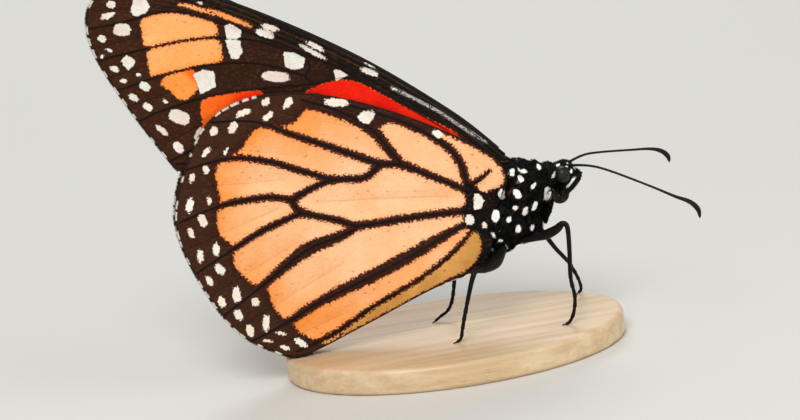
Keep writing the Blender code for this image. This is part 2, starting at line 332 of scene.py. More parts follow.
def addStudio():
    made, _ = newMaterial("painted studio floor", Roughness=0.9, Base_Color=colour(studio["floor"]))
    bpy.ops.mesh.primitive_plane_add(size=studio["floorSize"])
    floor = newest("floor")
    floor.data.materials.append(made)
    world = bpy.data.worlds.new("pale room")
    world.use_nodes = True
    sky = world.node_tree.nodes["Background"]
    sky.inputs["Color"].default_value = colour(studio["sky"])
    sky.inputs["Strength"].default_value = studio["skyStrength"]
    bpy.context.scene.world = world
    bpy.context.scene.view_settings.view_transform = "Standard"
    for name, (power, size, place) in studio["lights"].items():
        bpy.ops.object.light_add(type="AREA", location=place)
        light = newest(name)
        light.rotation_euler = (Vector(studio["aim"]) - Vector(place)).to_track_quat("-Z", "Y").to_euler()
        light.data.shape = "DISK"
        light.data.size = size
        light.data.energy = power
    print("camera, floor and lights")


# How the wings stand: the same curves as the solids, in millimetres.
wings = {
    "thickness": 0.16,
    "pleat": 0.10,
    "offset": 0.55,
    "step": 0.7,
    "shoulder": (7.8, 21.2),
    "shoulderRise": 1.75,
    "shoulderReach": 7.0,
    "rootDepth": 1.9,
    "waist": (6.5, 12.1),
    "tail": (-13.5, 7.3),
    "bulge": 1.1,
    "bulgeHeight": 4.2,
    "bulgeShare": 0.6,
    "bulgeFade": 7.0,
    # how far along each wing the root is held, and between which shares of the hindwing's root
    "forewingHold": 0.05,
    "hindwingHold": 0.07,
    "heldBetween": (0.12, 0.75),
    "heldFade": 0.12,
    # how far from a vein or a fold the membrane is pleated
    "veinReach": 1.6,
    "foldReach": 1.2,
    "forewingCells": (236, 116),
    "hindwingCells": (176, 168),
}


def shoulderBow(x, z):
    away = (x - wings["shoulder"][0]) ** 2 + (z - wings["shoulder"][1]) ** 2
    return wings["offset"] + wings["shoulderRise"] * np.exp(-away / wings["shoulderReach"] ** 2)


def abdomenBow(x, z):
    waist, tail = np.array(wings["waist"]), np.array(wings["tail"])
    length = np.linalg.norm(tail - waist)
    along = (tail - waist) / length
    dx, dz = x - waist[0], z - waist[1]
    behind = np.maximum(dx * along[0] + dz * along[1] - wings["bulgeShare"] * length, 0)
    across = -dx * along[1] + dz * along[0]
    away = (across / wings["bulgeHeight"]) ** 2 + (behind / wings["bulgeFade"]) ** 2
    return wings["bulge"] * np.exp(-away)


def forewingDepth(u, v, x, z):
    bow = shoulderBow(x, z)
    return bow + (wings["rootDepth"] - bow) * np.exp(-(u / wings["forewingHold"]) ** 2)


def hindwingDepth(u, v, x, z):
    bow = shoulderBow(x, z) + wings["step"] + abdomenBow(x, z)
    (first, last), fade = wings["heldBetween"], wings["heldFade"]
    held = np.minimum(np.clip((v - first) / fade, 0, 1), np.clip((last - v) / fade, 0, 1))
    return bow + (wings["rootDepth"] - bow) * np.exp(-(u / wings["hindwingHold"]) ** 2) * held


# Outlines from the side as (x, z).
# Veins run from the root to the margin as (x, z, half the width of their band).
# Spots are (x, z, length, width, degrees).
forewing = {
    "costa": [(8.0, 23.2), (2.5, 28.9), (-8.1, 37.4), (-21.8, 45.7), (-33.3, 50.0)],
    "outer": [(-33.3, 50.0), (-36.4, 47.4), (-37.2, 44.2), (-36.3, 40.4), (-33.8, 35.0), (-31.2, 30.2),
              (-29.4, 27.0)],
    "inner": [(7.0, 19.7), (-10.0, 22.8), (-21.3, 25.1), (-29.4, 27.0)],
    "root": [(8.0, 23.2), (8.5, 21.6), (7.0, 19.7)],
    "veins": {
        "subcosta": [(7.4, 23.2, 0.3), (2.4, 28.4, 0.25), (-8.2, 36.9, 0.2), (-21.4, 45.7, 0.1)],
        "radius": [(7.3, 22.7, 0.35), (2.3, 27.4, 0.3), (-9.4, 36.6, 0.25), (-18.4, 42.1, 0.2),
                   (-21.8, 44.6, 0.16), (-25.4, 46.6, 0.14), (-34.0, 49.2, 0.12)],
        "cellTop": [(2.0, 26.8, 0.3), (-3.1, 30.8, 0.3), (-8.9, 35.6, 0.25), (-13.8, 38.6, 0.25)],
        "cellEnd": [(-13.8, 38.6, 0.25), (-12.9, 36.7, 0.25), (-13.6, 35.7, 0.25), (-12.6, 34.6, 0.25)],
        "cellBottom": [(7.0, 22.0, 0.3), (3.1, 26.7, 0.3), (-0.8, 29.4, 0.3), (-4.0, 31.8, 0.3),
                       (-7.0, 33.9, 0.3), (-9.0, 34.8, 0.3), (-12.6, 34.6, 0.25)],
        "media1": [(-13.8, 38.6, 0.28), (-19.1, 41.5, 0.28), (-24.0, 44.0, 0.25), (-28.3, 45.4, 0.25),
                   (-33.5, 44.9, 0.2), (-37.2, 44.8, 0.15)],
        "media2": [(-13.3, 37.8, 0.28), (-17.9, 40.3, 0.28), (-22.4, 41.5, 0.25), (-27.1, 41.8, 0.25),
                   (-34.0, 41.3, 0.2), (-36.6, 41.0, 0.15)],
        "media3": [(-13.6, 35.7, 0.28), (-18.3, 37.8, 0.28), (-23.6, 38.6, 0.25), (-29.3, 38.3, 0.25),
                   (-33.4, 37.6, 0.2), (-34.9, 37.3, 0.15)],
        "cubitus1": [(-12.6, 34.6, 0.28), (-18.6, 35.0, 0.28), (-24.0, 35.1, 0.25), (-30.5, 34.2, 0.2),
                     (-32.9, 33.4, 0.15)],
        "cubitus2": [(-8.0, 30.3, 0.28), (-18.1, 31.8, 0.28), (-22.9, 30.8, 0.25), (-30.2, 28.3, 0.15)],
        "anal": [(7.0, 20.6, 0.25), (-8.0, 23.7, 0.25), (-20.0, 26.2, 0.25), (-29.5, 27.9, 0.15)],
    },
    "folds": [
        [(-30.7, 43.1), (-36.9, 42.4)], [(-30.6, 39.7), (-35.8, 38.8)], [(-28.8, 36.2), (-33.4, 35.3)],
        [(-25.4, 32.1), (-30.9, 30.2)], [(-32.2, 46.3), (-36.7, 46.7)],
    ],
    # each orange patch lies between two veins, from one x to another
    "patches": [("media1", "media2", -31.3, -22.7), ("media2", "media3", -31.1, -22.6),
                ("cubitus1", "cubitus2", -25.9, -18.6)],
    "thirdPatch": [(-30.1, 37.3), (-29.2, 38.1), (-27.6, 38.3), (-26.0, 38.2), (-25.9, 36.2),
                   (-26.9, 35.3), (-28.0, 35.1), (-28.8, 36.0)],
    "strips": [[(-26.7, 46.0, 0.14), (-25.6, 45.6, 0.22), (-24.3, 45.0, 0.22), (-22.9, 44.2, 0.05)],
               [(-23.6, 45.0, 0.08), (-22.2, 44.2, 0.26), (-21.2, 43.6, 0.28), (-20.1, 43.0, 0.26),
                (-19.0, 42.3, 0.18)]],
    "wedge": [(-14.2, 33.6), (-12.0, 34.4), (-9.2, 34.5), (-7.2, 33.7), (-4.2, 31.5), (-1.0, 29.1),
              (2.8, 26.4), (4.0, 23.6), (-4.0, 24.5), (-13.0, 30.0)],
    # a painted highlight runs along this line, beside a vein near the root
    "streak": [(-3.8, 32.7), (-1.7, 31.3), (1.3, 29.1), (3.4, 27.2), (6.0, 25.0)],
    "spots": [
        (-34.2, 47.1, 1.0, 0.8, 153), (-34.8, 45.9, 1.6, 0.7, 9), (-35.8, 43.4, 1.0, 0.8, 137),
        (-35.2, 42.0, 0.7, 0.35, 155), (-36.1, 41.4, 0.5, 0.3, 29), (-34.9, 39.8, 1.1, 0.65, 148),
        (-34.1, 38.3, 0.75, 0.5, 163), (-33.2, 36.2, 1.25, 0.75, 138), (-31.8, 34.9, 1.15, 0.75, 138),
        (-30.6, 32.0, 1.6, 0.6, 131), (-29.0, 29.7, 1.5, 0.95, 120), (-26.4, 30.8, 1.7, 0.9, 52),
        (-32.4, 48.4, 0.8, 0.6, 30), (-33.4, 44.1, 1.9, 1.4, 168), (-32.3, 38.7, 0.5, 0.35, 149),
        (-31.8, 37.3, 1.35, 0.95, 135), (-29.7, 35.2, 0.7, 0.4, 134), (-28.4, 33.2, 2.4, 1.5, 149),
        (-16.8, 41.8, 1.9, 0.65, 154), (-17.5, 41.2, 2.1, 0.75, 153), (-16.9, 36.1, 3.1, 1.2, 166),
        (-12.0, 38.9, 2.1, 0.55, 144), (-12.4, 38.3, 3.2, 0.5, 142), (-6.2, 35.0, 2.1, 0.65, 149),
        (-24.3, 45.8, 0.7, 0.3, 148), (-6.0, 35.7, 1.2, 0.2, 146),
    ],
    "spotOutlines": [
        [(-31.5, 47.9), (-30.5, 47.6), (-29.9, 46.2), (-30.5, 45.6), (-31.7, 45.3), (-32.2, 45.9)],
        [(-34.1, 40.6), (-33.4, 41.2), (-32.5, 40.5), (-32.6, 39.9), (-33.4, 39.4)],
        [(-21.9, 42.9), (-21.2, 42.9), (-20.1, 42.0), (-20.3, 41.2), (-21.3, 41.1), (-21.9, 41.4)],
        [(-22.1, 41.2), (-20.4, 40.9), (-20.3, 39.5), (-20.9, 38.8), (-21.7, 38.9), (-21.8, 39.8)],
        [(-26.2, 37.8), (-25.0, 38.2), (-23.8, 37.8), (-23.8, 36.0), (-25.7, 35.4), (-25.9, 36.8)],
        [(-15.7, 38.8), (-14.6, 38.6), (-13.3, 37.7), (-13.7, 36.6), (-14.9, 36.6), (-15.7, 37.1)],
        [(-10.3, 35.9), (-9.5, 35.7), (-8.7, 35.0), (-10.1, 34.5)],
    ],
    # the dashes of white fringe along the outer edge
    "dashes": [(-36.2, 47.3), (-37.3, 44.6), (-37.3, 43.2), (-36.8, 41.8), (-36.1, 39.3), (-34.9, 37.3),
               (-34.2, 35.9), (-33.0, 34.3), (-31.4, 31.2), (-30.4, 29.3)],
}
hindwing = {
    "costa": [(6.9, 18.9), (7.7, 20.7), (6.8, 23.0), (3.1, 25.9), (-5.1, 30.5), (-12.2, 33.3),
              (-18.8, 34.2)],
    "outer": [(-18.8, 34.2), (-24.0, 32.9), (-27.3, 29.4), (-30.3, 22.0), (-29.3, 15.4), (-25.4, 7.6),
              (-20.1, 3.6)],
    "inner": [(4.2, 10.9), (-3.9, 8.3), (-11.3, 5.4), (-17.0, 3.4), (-20.1, 3.5)],
    "root": [(6.9, 18.9), (6.1, 17.0), (5.8, 14.5), (4.2, 10.9)],
    "veins": {
        "subcosta": [(3.2, 20.2, 0.45), (2.7, 23.1, 0.5), (1.3, 25.4, 0.5), (-2.4, 28.3, 0.5),
                     (-6.2, 30.3, 0.55), (-9.5, 31.9, 0.5)],
        "humeral": [(3.3, 20.3, 0.42), (4.4, 20.9, 0.36), (5.9, 21.9, 0.2)],
        "sector": [(-3.9, 23.8, 0.5), (-5.3, 26.0, 0.58), (-7.0, 28.6, 0.7), (-10.2, 31.1, 0.8),
                   (-14.5, 33.2, 0.8)],
        "cellTop": [(3.4, 19.6, 0.45), (1.3, 20.9, 0.45), (-0.9, 22.1, 0.45), (-3.9, 23.8, 0.5),
                    (-6.5, 24.3, 0.5)],
        "cellEnd": [(-6.5, 24.3, 0.5), (-8.4, 23.0, 0.48), (-12.0, 23.3, 0.45), (-14.4, 22.8, 0.45),
                    (-16.9, 21.7, 0.5), (-16.4, 20.4, 0.45), (-15.7, 19.9, 0.45)],
        "cellBottom": [(5.6, 17.3, 0.4), (3.4, 17.4, 0.5), (-2.6, 17.5, 0.5), (-9.6, 17.5, 0.5),
                       (-11.8, 18.4, 0.45), (-15.7, 19.9, 0.45)],
        "media1": [(-6.5, 24.3, 0.5), (-11.9, 27.2, 0.48), (-16.2, 29.4, 0.42), (-18.7, 30.9, 0.4),
                   (-21.0, 31.7, 0.3), (-25.2, 32.2, 0.2)],
        "media2": [(-12.0, 23.3, 0.4), (-16.7, 25.5, 0.45), (-19.3, 26.7, 0.42), (-23.5, 27.7, 0.35),
                   (-28.6, 27.2, 0.15)],
        "media3": [(-16.9, 21.7, 0.42), (-19.8, 22.5, 0.45), (-25.2, 22.4, 0.4), (-30.1, 21.2, 0.15)],
        "cubitus1": [(-16.0, 20.1, 0.42), (-20.3, 18.9, 0.45), (-24.1, 17.3, 0.4), (-29.0, 15.0, 0.15)],
        "cubitus2": [(-9.6, 17.5, 0.4), (-12.1, 16.6, 0.62), (-15.7, 15.8, 0.82), (-18.2, 14.5, 0.7),
                     (-21.4, 12.5, 0.5), (-26.6, 9.5, 0.15)],
        "anal2": [(5.2, 16.6, 0.35), (2.0, 15.7, 0.45), (-3.1, 13.6, 0.7), (-8.1, 11.8, 0.76),
                  (-15.4, 9.3, 0.6), (-19.2, 7.6, 0.5), (-24.0, 5.9, 0.2)],
        "anal3": [(3.9, 15.9, 0.25), (1.1, 13.2, 0.3), (-3.0, 10.7, 0.32), (-9.2, 8.0, 0.34),
                  (-14.1, 5.4, 0.36), (-18.8, 3.9, 0.3)],
    },
    "folds": [
        [(-16.5, 26.9), (-26.9, 29.7)], [(-17.5, 24.2), (-28.9, 24.9)], [(-18.8, 20.9), (-29.7, 17.9)],
        [(-17.0, 16.6), (-28.1, 11.9)], [(-12.0, 13.4), (-25.6, 7.5)], [(-12.7, 7.5), (-21.6, 4.6)],
        [(-9.0, 29.0), (-16.5, 31.8)], [(1.0, 19.3), (-14.5, 21.0)],
    ],
    "border": [(-12.9, 33.0), (-14.5, 31.6), (-15.9, 30.5), (-19.9, 30.6), (-22.0, 28.5), (-24.7, 27.3),
               (-25.3, 25.6), (-25.2, 23.0), (-25.7, 21.6), (-25.8, 19.2), (-24.6, 17.6), (-24.5, 15.2),
               (-23.8, 13.8), (-22.6, 12.6), (-21.3, 11.9), (-20.8, 9.8), (-19.8, 8.0), (-18.8, 7.2),
               (-18.1, 6.0), (-16.2, 4.6)],
    "darkCorner": [(-4.6, 29.5, 0.5), (-6.6, 29.9, 1.4), (-9.5, 31.4, 1.15), (-12.5, 32.6, 0.9)],
    # dark scales and hairs cover the root, up to the orange cells
    "rootPatch": [(4.2, 20.1), (3.7, 20.6), (3.1, 20.8), (2.7, 19.7), (2.8, 18.7), (2.4, 17.8),
                  (2.4, 15.6), (2.7, 15.2), (3.3, 15.0), (3.8, 14.4), (3.95, 13.2), (3.7, 12.4),
                  (3.2, 11.6), (1.9, 10.5), (4.0, 8.5), (12.0, 12.0), (11.0, 20.0), (9.5, 22.5),
                  (7.95, 21.3), (7.5, 20.1), (6.5, 19.8), (5.7, 19.5), (5.2, 19.4), (4.6, 19.6)],
    "spots": [
        (-10.5, 32.2, 2.7, 0.9, 168), (0.6, 26.8, 1.3, 0.8, 148), (3.0, 16.3, 1.3, 0.95, 84),
        (7.0, 19.0, 1.0, 0.7, 80), (4.6, 15.4, 0.8, 0.5, 100), (-16.0, 33.0, 1.5, 0.85, 50),
        (-18.5, 33.5, 1.1, 0.8, 55), (-18.5, 31.8, 1.4, 0.7, 35), (-21.2, 32.7, 1.7, 0.7, 15),
        (-22.6, 31.2, 1.4, 1.0, 56), (-24.8, 31.1, 1.1, 0.9, 81), (-23.8, 28.5, 0.9, 0.4, 50),
        (-26.0, 28.8, 1.3, 0.6, 43), (-28.0, 26.1, 1.1, 0.6, 78), (-26.3, 26.8, 1.1, 0.7, 101),
        (-28.7, 23.0, 1.7, 0.75, 72), (-29.0, 19.8, 1.3, 0.6, 102), (-28.3, 16.9, 1.5, 0.7, 87),
        (-27.7, 13.9, 1.3, 0.7, 109), (-26.6, 11.1, 1.4, 0.85, 104), (-24.9, 9.3, 1.4, 0.9, 111),
        (-23.8, 7.2, 1.4, 0.85, 100), (-22.0, 5.7, 1.0, 0.35, 162), (-20.1, 4.5, 1.1, 0.5, 155),
        (-26.4, 23.2, 0.9, 0.6, 87), (-27.5, 21.0, 1.6, 0.9, 104), (-26.4, 17.4, 1.6, 0.75, 87),
        (-26.3, 15.0, 1.5, 0.9, 119), (-24.8, 11.7, 1.8, 0.9, 90), (-22.8, 10.5, 1.1, 0.9, 102),
        (-21.9, 7.8, 1.8, 0.8, 79), (-20.3, 6.3, 1.2, 0.4, 162), (-18.2, 4.8, 1.5, 0.75, 140),
    ],
    "spotOutlines": [[(-8.3, 30.2), (-7.7, 30.7), (-6.6, 30.7), (-6.2, 30.3), (-6.6, 29.6), (-7.3, 29.1),
                      (-8.1, 29.6)],
                     [(3.8, 19.3), (4.3, 19.4), (4.9, 18.4), (4.4, 17.4), (3.6, 17.5), (3.7, 18.6)]],
    "dashes": [(-19.8, 34.5), (-20.8, 34.3), (-22.2, 33.9), (-23.2, 33.5), (-24.2, 33.1), (-26.3, 31.4),
               (-28.1, 28.9), (-29.3, 26.2), (-30.1, 23.2), (-30.3, 19.7), (-29.5, 16.6), (-28.7, 13.6),
               (-27.6, 10.8), (-26.3, 8.5), (-24.9, 6.6), (-23.1, 5.0), (-21.0, 3.8), (-30.4, 22.0),
               (-29.9, 18.7), (-28.2, 12.2), (-25.5, 7.4), (-22.0, 34.0), (-27.0, 30.3)],
}


def veinRoutes(wing):
    return {name: smoothRoute(points, 40) for name, points in wing["veins"].items()}


def heightOn(route, x):
    order = np.argsort(route[:, 0])
    return np.interp(x, route[order, 0], route[order, 1])


def betweenVeins(points, upper, lower, left, right, inset):
    # how far inside the stretch of a cell between two veins each point is
    x, z = points.T
    top, bottom = heightOn(upper, x) - z, z - heightOn(lower, x)
    return softLeast([top - inset, bottom - inset, x - left, right - x], 0.28)


def forewingMarks(points, upper):
    # distances in millimetres: dark is above 0 in the orange, spot below 0 in a white spot
    routes = veinRoutes(forewing)
    bands = [bandGap(points, route) for route in routes.values()]
    vein = np.minimum.reduce([gap for _, gap in bands])
    margin, _ = toSegments(points, smoothRoute(forewing["outer"], 80))
    costa, _ = toSegments(points, smoothRoute(forewing["costa"], 80))
    x, z = points.T
    inset = 0.1 if upper else 0.17
    patches = [betweenVeins(points, routes[a], routes[b], low, high, inset)
               for a, b, low, high in forewing["patches"]]
    wedge = insideGap(points, smoothRoute([*forewing["wedge"], forewing["wedge"][0]], 90)[:-1])
    third = insideGap(points, smoothRoute([*forewing["thirdPatch"], forewing["thirdPatch"][0]], 60)[:-1])
    strips = [-bandGap(points, smoothRoute(strip, 30))[0] for strip in forewing["strips"]]
    dark = np.maximum.reduce([*patches, third, wedge, *strips])
    if upper:
        # above, the cells near the body are orange too
        cells = [gap for gap, _ in bands]
        field = softLeast([*cells, costa - 1.6, margin - 3.2, x + 17.5 + 0.25 * (z - 30)], 0.2)
        dark = np.maximum(dark, field)
    fold = np.minimum.reduce([toSegments(points, np.array(line))[0] for line in forewing["folds"]])
    streak, _ = toSegments(points, np.array(forewing["streak"]))
    # painted light: the red of the wedge and of two patches is a glow standing in for light shining
    # through and between the wings
    red = softStep(wedge, -0.2, 0.1)
    red = np.maximum(red, softStep(patches[2], -0.4, 0.2) * (0.42 + 0.5 * softStep(x, -24.5, -20.5)))
    red = np.maximum(red, 0.45 * softStep(third, -0.4, 0.2) * softStep(x + 0.8 * (z - 36), -26.4, -24.6))
    # brown towards the outer edge and in the outer cell, black along the front edge and near the body
    brown = softStep(margin, 8.5, 3.5)
    brown = np.maximum(brown, 0.6 * softStep(costa, 1.6, 3.2) * softStep(x, -8.0, -14.0))
    return {
        "dark": dark,
        "spot": spotGap(points, forewing["spots"], forewing["spotOutlines"]),
        "vein": vein,
        "fold": fold,
        "warm": np.clip(0.2 + 0.55 * softStep(z, 41.5, 37.0) + 0.25 * softStep(x, -25.0, -22.5), 0, 1),
        "tint": red * (0.35 if upper else 1),
        "brown": brown,
        "stripe": costa,
        "streak": softStep(streak, 0.28, 0.08) * (0 if upper else 1),
    }


def hindwingMarks(points, upper):
    routes = veinRoutes(hindwing)
    costa, _ = toSegments(points, smoothRoute(hindwing["costa"], 80))
    inner, _ = toSegments(points, smoothRoute(hindwing["inner"], 60))
    slim = 0.22 if upper else 0.0
    bands = [bandGap(points, route) for route in routes.values()]
    vein = np.minimum.reduce([gap for _, gap in bands])
    edge = smoothRoute(hindwing["border"], 150)
    beyond = np.array([(-10.0, 0.0), (14.0, 6.0), (14.0, 40.0), (-8.0, 42.0)])
    field = insideGap(points, np.vstack([edge, beyond]))
    # the costal edge is dark in a narrow line, wider towards the tip
    costaWidth = 0.3 + 0.45 * softStep(points[:, 0], 1.8, -0.6)
    corner = bandGap(points, smoothRoute(hindwing["darkCorner"], 40))[0]
    bare = -insideGap(points, np.array(hindwing["rootPatch"]))
    cells = [gap + slim for gap, _ in bands]
    dark = softLeast([*cells, field, costa - costaWidth, inner - 0.3, corner, bare], 0.14)
    x, z = points.T
    near = np.exp(-np.maximum(field, 0) / 5.0)
    anal2, anal3 = (heightOn(routes[name], x) for name in ("anal2", "anal3"))
    lowCells = softStep(anal2 - z, -0.2, 0.8)
    analStrip = softStep(anal3 - z, -0.1, 0.3)
    warm = 0.85 * near + 0.12 * softStep(z, 24.0, 28.0) + 0.35 * lowCells + (0.35 if upper else 0)
    fold = np.minimum.reduce([toSegments(points, np.array(line))[0] for line in hindwing["folds"]])
    return {
        "dark": dark,
        "spot": spotGap(points, hindwing["spots"], hindwing["spotOutlines"]),
        "vein": vein,
        "fold": fold,
        "warm": np.clip(warm, 0, 1),
        "tint": analStrip * (0.4 if upper else 0.9),
        "brown": softStep(-field, 0.0, 1.3) * softStep(bare, 1.0, 3.0) - softStep(-bare, -0.5, 0.3),
        "stripe": costa,
        "streak": np.zeros(len(points)),
    }


# What the scales of both wings share. Scales are 0.1 mm wide in rows 0.2 mm apart, drawn half as
# large again so that they show. Patterns are in cells to the metre, and reliefs in metres.
scaleLook = {
    "cells": (3300, 3300, 6600),
    "ragged": 4200.0,
    "patchy": 240.0,
    "specks": 7500.0,
    "frontLines": 0.28,
    "rootBlack": "#050404",
    # the pale colour of the painted highlight along the forewing's streak
    "streakHighlight": "#e2dcd5",
    "veinRelief": 0.00008,
    "foldRelief": -0.00005,
    "rowRelief": 0.00002,
}


def wingMaterial(name, look):
    # Scales of chitin in overlapping rows, like fine suede: matt and grained, with a faint sheen.
    made, tree = newMaterial(name, Roughness=look["roughness"], Sheen_Weight=0.02, Sheen_Roughness=0.4,
                             Specular_IOR_Level=0.12)
    place = addNode(tree, "place")
    rows = addNode(tree, "mapping", place, scaleLook["cells"], (0, math.radians(look["lie"]), 0))
    scales = addNode(tree, "cells", rows, 1.0)
    tone = addNode(tree, "red", scales)
    rag = addNode(tree, "noise", place, scaleLook["ragged"], 2.0)
    patchy = addNode(tree, "noise", place, scaleLook["patchy"], 3.0)
    specks = addNode(tree, "noise", place, scaleLook["specks"], 1.0)
    # the marks kept on the mesh's points
    names = ("vein", "fold", "brown", "stripe", "tint", "dark", "spot", "warm", "streak")
    marks = [addNode(tree, "mark", attribute_name=name) for name in names]
    vein, fold, brown, stripe, tint, darkAt, spotAt, warmAt, streak = marks
    ragged = addNode(tree, "ramp", rag, 0.3, 0.7, -look["rag"], look["rag"])
    halfRagged = addNode(tree, "math", ragged, 0.55, operation="MULTIPLY")
    dark = addNode(tree, "math", darkAt, ragged, operation="ADD")
    spot = addNode(tree, "math", spotAt, halfRagged, operation="ADD")
    warmth = addNode(tree, "ramp", patchy, 0.3, 0.7, -0.16, 0.16)
    warm = addNode(tree, "math", warmAt, warmth, operation="ADD")
    patches = addNode(tree, "ramp", patchy, 0.35, 0.65)
    # the orange ground, deeper near the border, reddened by the tint, with painted shade darker along the
    # folds, and darker along dark edges
    ground = addNode(tree, "mix", warm, look["pale"], look["deep"])
    # on the forewing the tint is a painted glow of light through the wings, on the hindwing the tan
    # strip's own colour
    tinted = addNode(tree, "mix", patches, look["tint"], look["tintDeep"])
    ground = layered(tree, ground, (tint, 0.0, 0.5, 1.0, look["tintMid"]), (tint, 0.5, 1.0, 1.0, tinted),
                     (fold, 0.16, 0.03, look["foldShadeShare"], look["foldShade"]))
    nearDark = addNode(tree, "ramp", dark, 0.4, 0.0, 0.0, look["edgeShare"])
    untinted = addNode(tree, "ramp", tint, 0.7, 0.3)
    beside = addNode(tree, "math", nearDark, untinted, operation="MULTIPLY")
    ground = addNode(tree, "mix", beside, ground, look["edge"])
    # black along the veins, and one scale in a hundred dark
    ground = layered(tree, ground, (vein, 0.11, 0.05, 0.85, look["black"]),
                     (tone, 0.988, 0.992, 0.4, look["rim"]))
    # the dark scales: brown in the border, black along the veins, the front edge and the root
    black = addNode(tree, "mix", brown, look["black"], look["border"])
    black = layered(tree, black, (brown, -0.1, -0.9, 1.0, scaleLook["rootBlack"]))
    # painted highlights: fine lighter lines along the front edge stand in for sheen on its fine ridges
    lines = addNode(tree, "math", stripe, scaleLook["frontLines"], operation="PINGPONG")
    lines = addNode(tree, "ramp", lines, 0.16, 0.26, 0.0, look["frontSheenShare"])
    front = addNode(tree, "ramp", stripe, 2.6, 1.6)
    sheenLines = addNode(tree, "math", lines, front, operation="MULTIPLY")
    black = addNode(tree, "mix", sheenLines, black, look["stripe"])
    # flecks and vein lines in the dark scales, and painted shade as thin darker lines along the folds
    black = layered(tree, black, (tone, 0.7, 1.0, look["fleck"], look["fleckColour"]),
                    (vein, 0.2, 0.08, 0.9, look["veinLine"]), (fold, 0.14, 0.04, 0.5, look["veinLine"]))
    # a red-brown rim where the two meet, then a painted highlight as a pale speckled line along the
    # streak, and the white spots
    toEdge = addNode(tree, "math", dark, 0.07, operation="ADD")
    toEdge = addNode(tree, "math", toEdge, operation="ABSOLUTE")
    painted = layered(tree, ground, (dark, 0.04, -0.04, 1.0, black),
                      (toEdge, 0.13, 0.0, look["rimShare"], look["rim"]))
    speckled = addNode(tree, "ramp", specks, 0.45, 0.58)
    streakHighlight = addNode(tree, "math", streak, speckled, operation="MULTIPLY")
    painted = addNode(tree, "mix", streakHighlight, painted, scaleLook["streakHighlight"])
    white = addNode(tree, "mix", patches, look["white"], look["cream"])
    painted = layered(tree, painted, (spot, 0.04, -0.04, 1.0, white))
    grain = addNode(tree, "mix", tone, (*[look["grainLow"]] * 3, 1), (*[look["grainHigh"]] * 3, 1))
    painted = addNode(tree, "mix", 1.0, painted, grain, blend_type="MULTIPLY")
    # relief: veins, folds and the rows of scales
    ridge = addNode(tree, "ramp", vein, 0.28, 0.0, 0.0, scaleLook["veinRelief"])
    crease = addNode(tree, "ramp", fold, 0.2, 0.0, 0.0, scaleLook["foldRelief"])
    rowsHeight = addNode(tree, "math", scales.node.outputs["Distance"], scaleLook["rowRelief"],
                         operation="MULTIPLY")
    height = ridge
    for more in (crease, rowsHeight):
        height = addNode(tree, "math", height, more, operation="ADD")
    return finishMaterial(made, painted, height, 0.7)


# The colours and grain of each wing's scales; the upper side differs where upperLook says so.
wingLooks = {
    "forewing": {
        "pale": "#ffb774", "deep": "#fd9238",
        # the forewing's tints are a painted glow of light shining through the wings
        "tintMid": "#fb6410", "tint": "#ff2a08", "tintDeep": "#ee1806",
        # painted shade: the fold colour darkens the orange along the creases
        "foldShade": "#e8792c", "foldShadeShare": 0.4, "edge": "#e8691f", "edgeShare": 0.3,
        # the front-edge line colour is a painted highlight, sheen on the fine ridges
        "black": "#130902", "border": "#381b0a", "stripe": "#4a3322", "frontSheenShare": 0.55,
        "fleck": 0.3, "fleckColour": "#62381c", "veinLine": "#0e0502",
        "rim": "#5a2109", "rimShare": 0.6, "white": "#e4e6da", "cream": "#e7d3c8",
        "grainLow": 0.9, "grainHigh": 1.05, "rag": 0.12, "lie": 32.0, "roughness": 0.72,
    },
    "hindwing": {
        "pale": "#fdc797", "deep": "#f8943c",
        "tintMid": "#e2a55c", "tint": "#dca055", "tintDeep": "#c48a42",
        # painted shade: the fold colour darkens the orange along the creases
        "foldShade": "#e88c45", "foldShadeShare": 0.28, "edge": "#e07a33", "edgeShare": 0.25,
        # the front-edge line colour is a painted highlight, sheen on the fine ridges
        "black": "#30150a", "border": "#3c2011", "stripe": "#3a2519", "frontSheenShare": 0.3,
        "fleck": 0.3, "fleckColour": "#5f3520", "veinLine": "#0a0402",
        "rim": "#6a250a", "rimShare": 0.8, "white": "#eeebdf", "cream": "#f3dfca",
        "grainLow": 0.92, "grainHigh": 1.04, "rag": 0.16, "lie": 18.0, "roughness": 0.7,
    },
}
upperLook = {
    "pale": "#f58a2c", "deep": "#ec7416",
    # on the forewing these tints are a painted glow of light through the wing, on the hindwing the tan
    # strip's colour
    "tintMid": "#e8661a", "tint": "#e2561a", "tintDeep": "#d0480f",
    # the fold colour here is painted shade along the creases
    "foldShade": "#e2701c", "edge": "#c94f12", "black": "#120b08", "border": "#160d09",
}


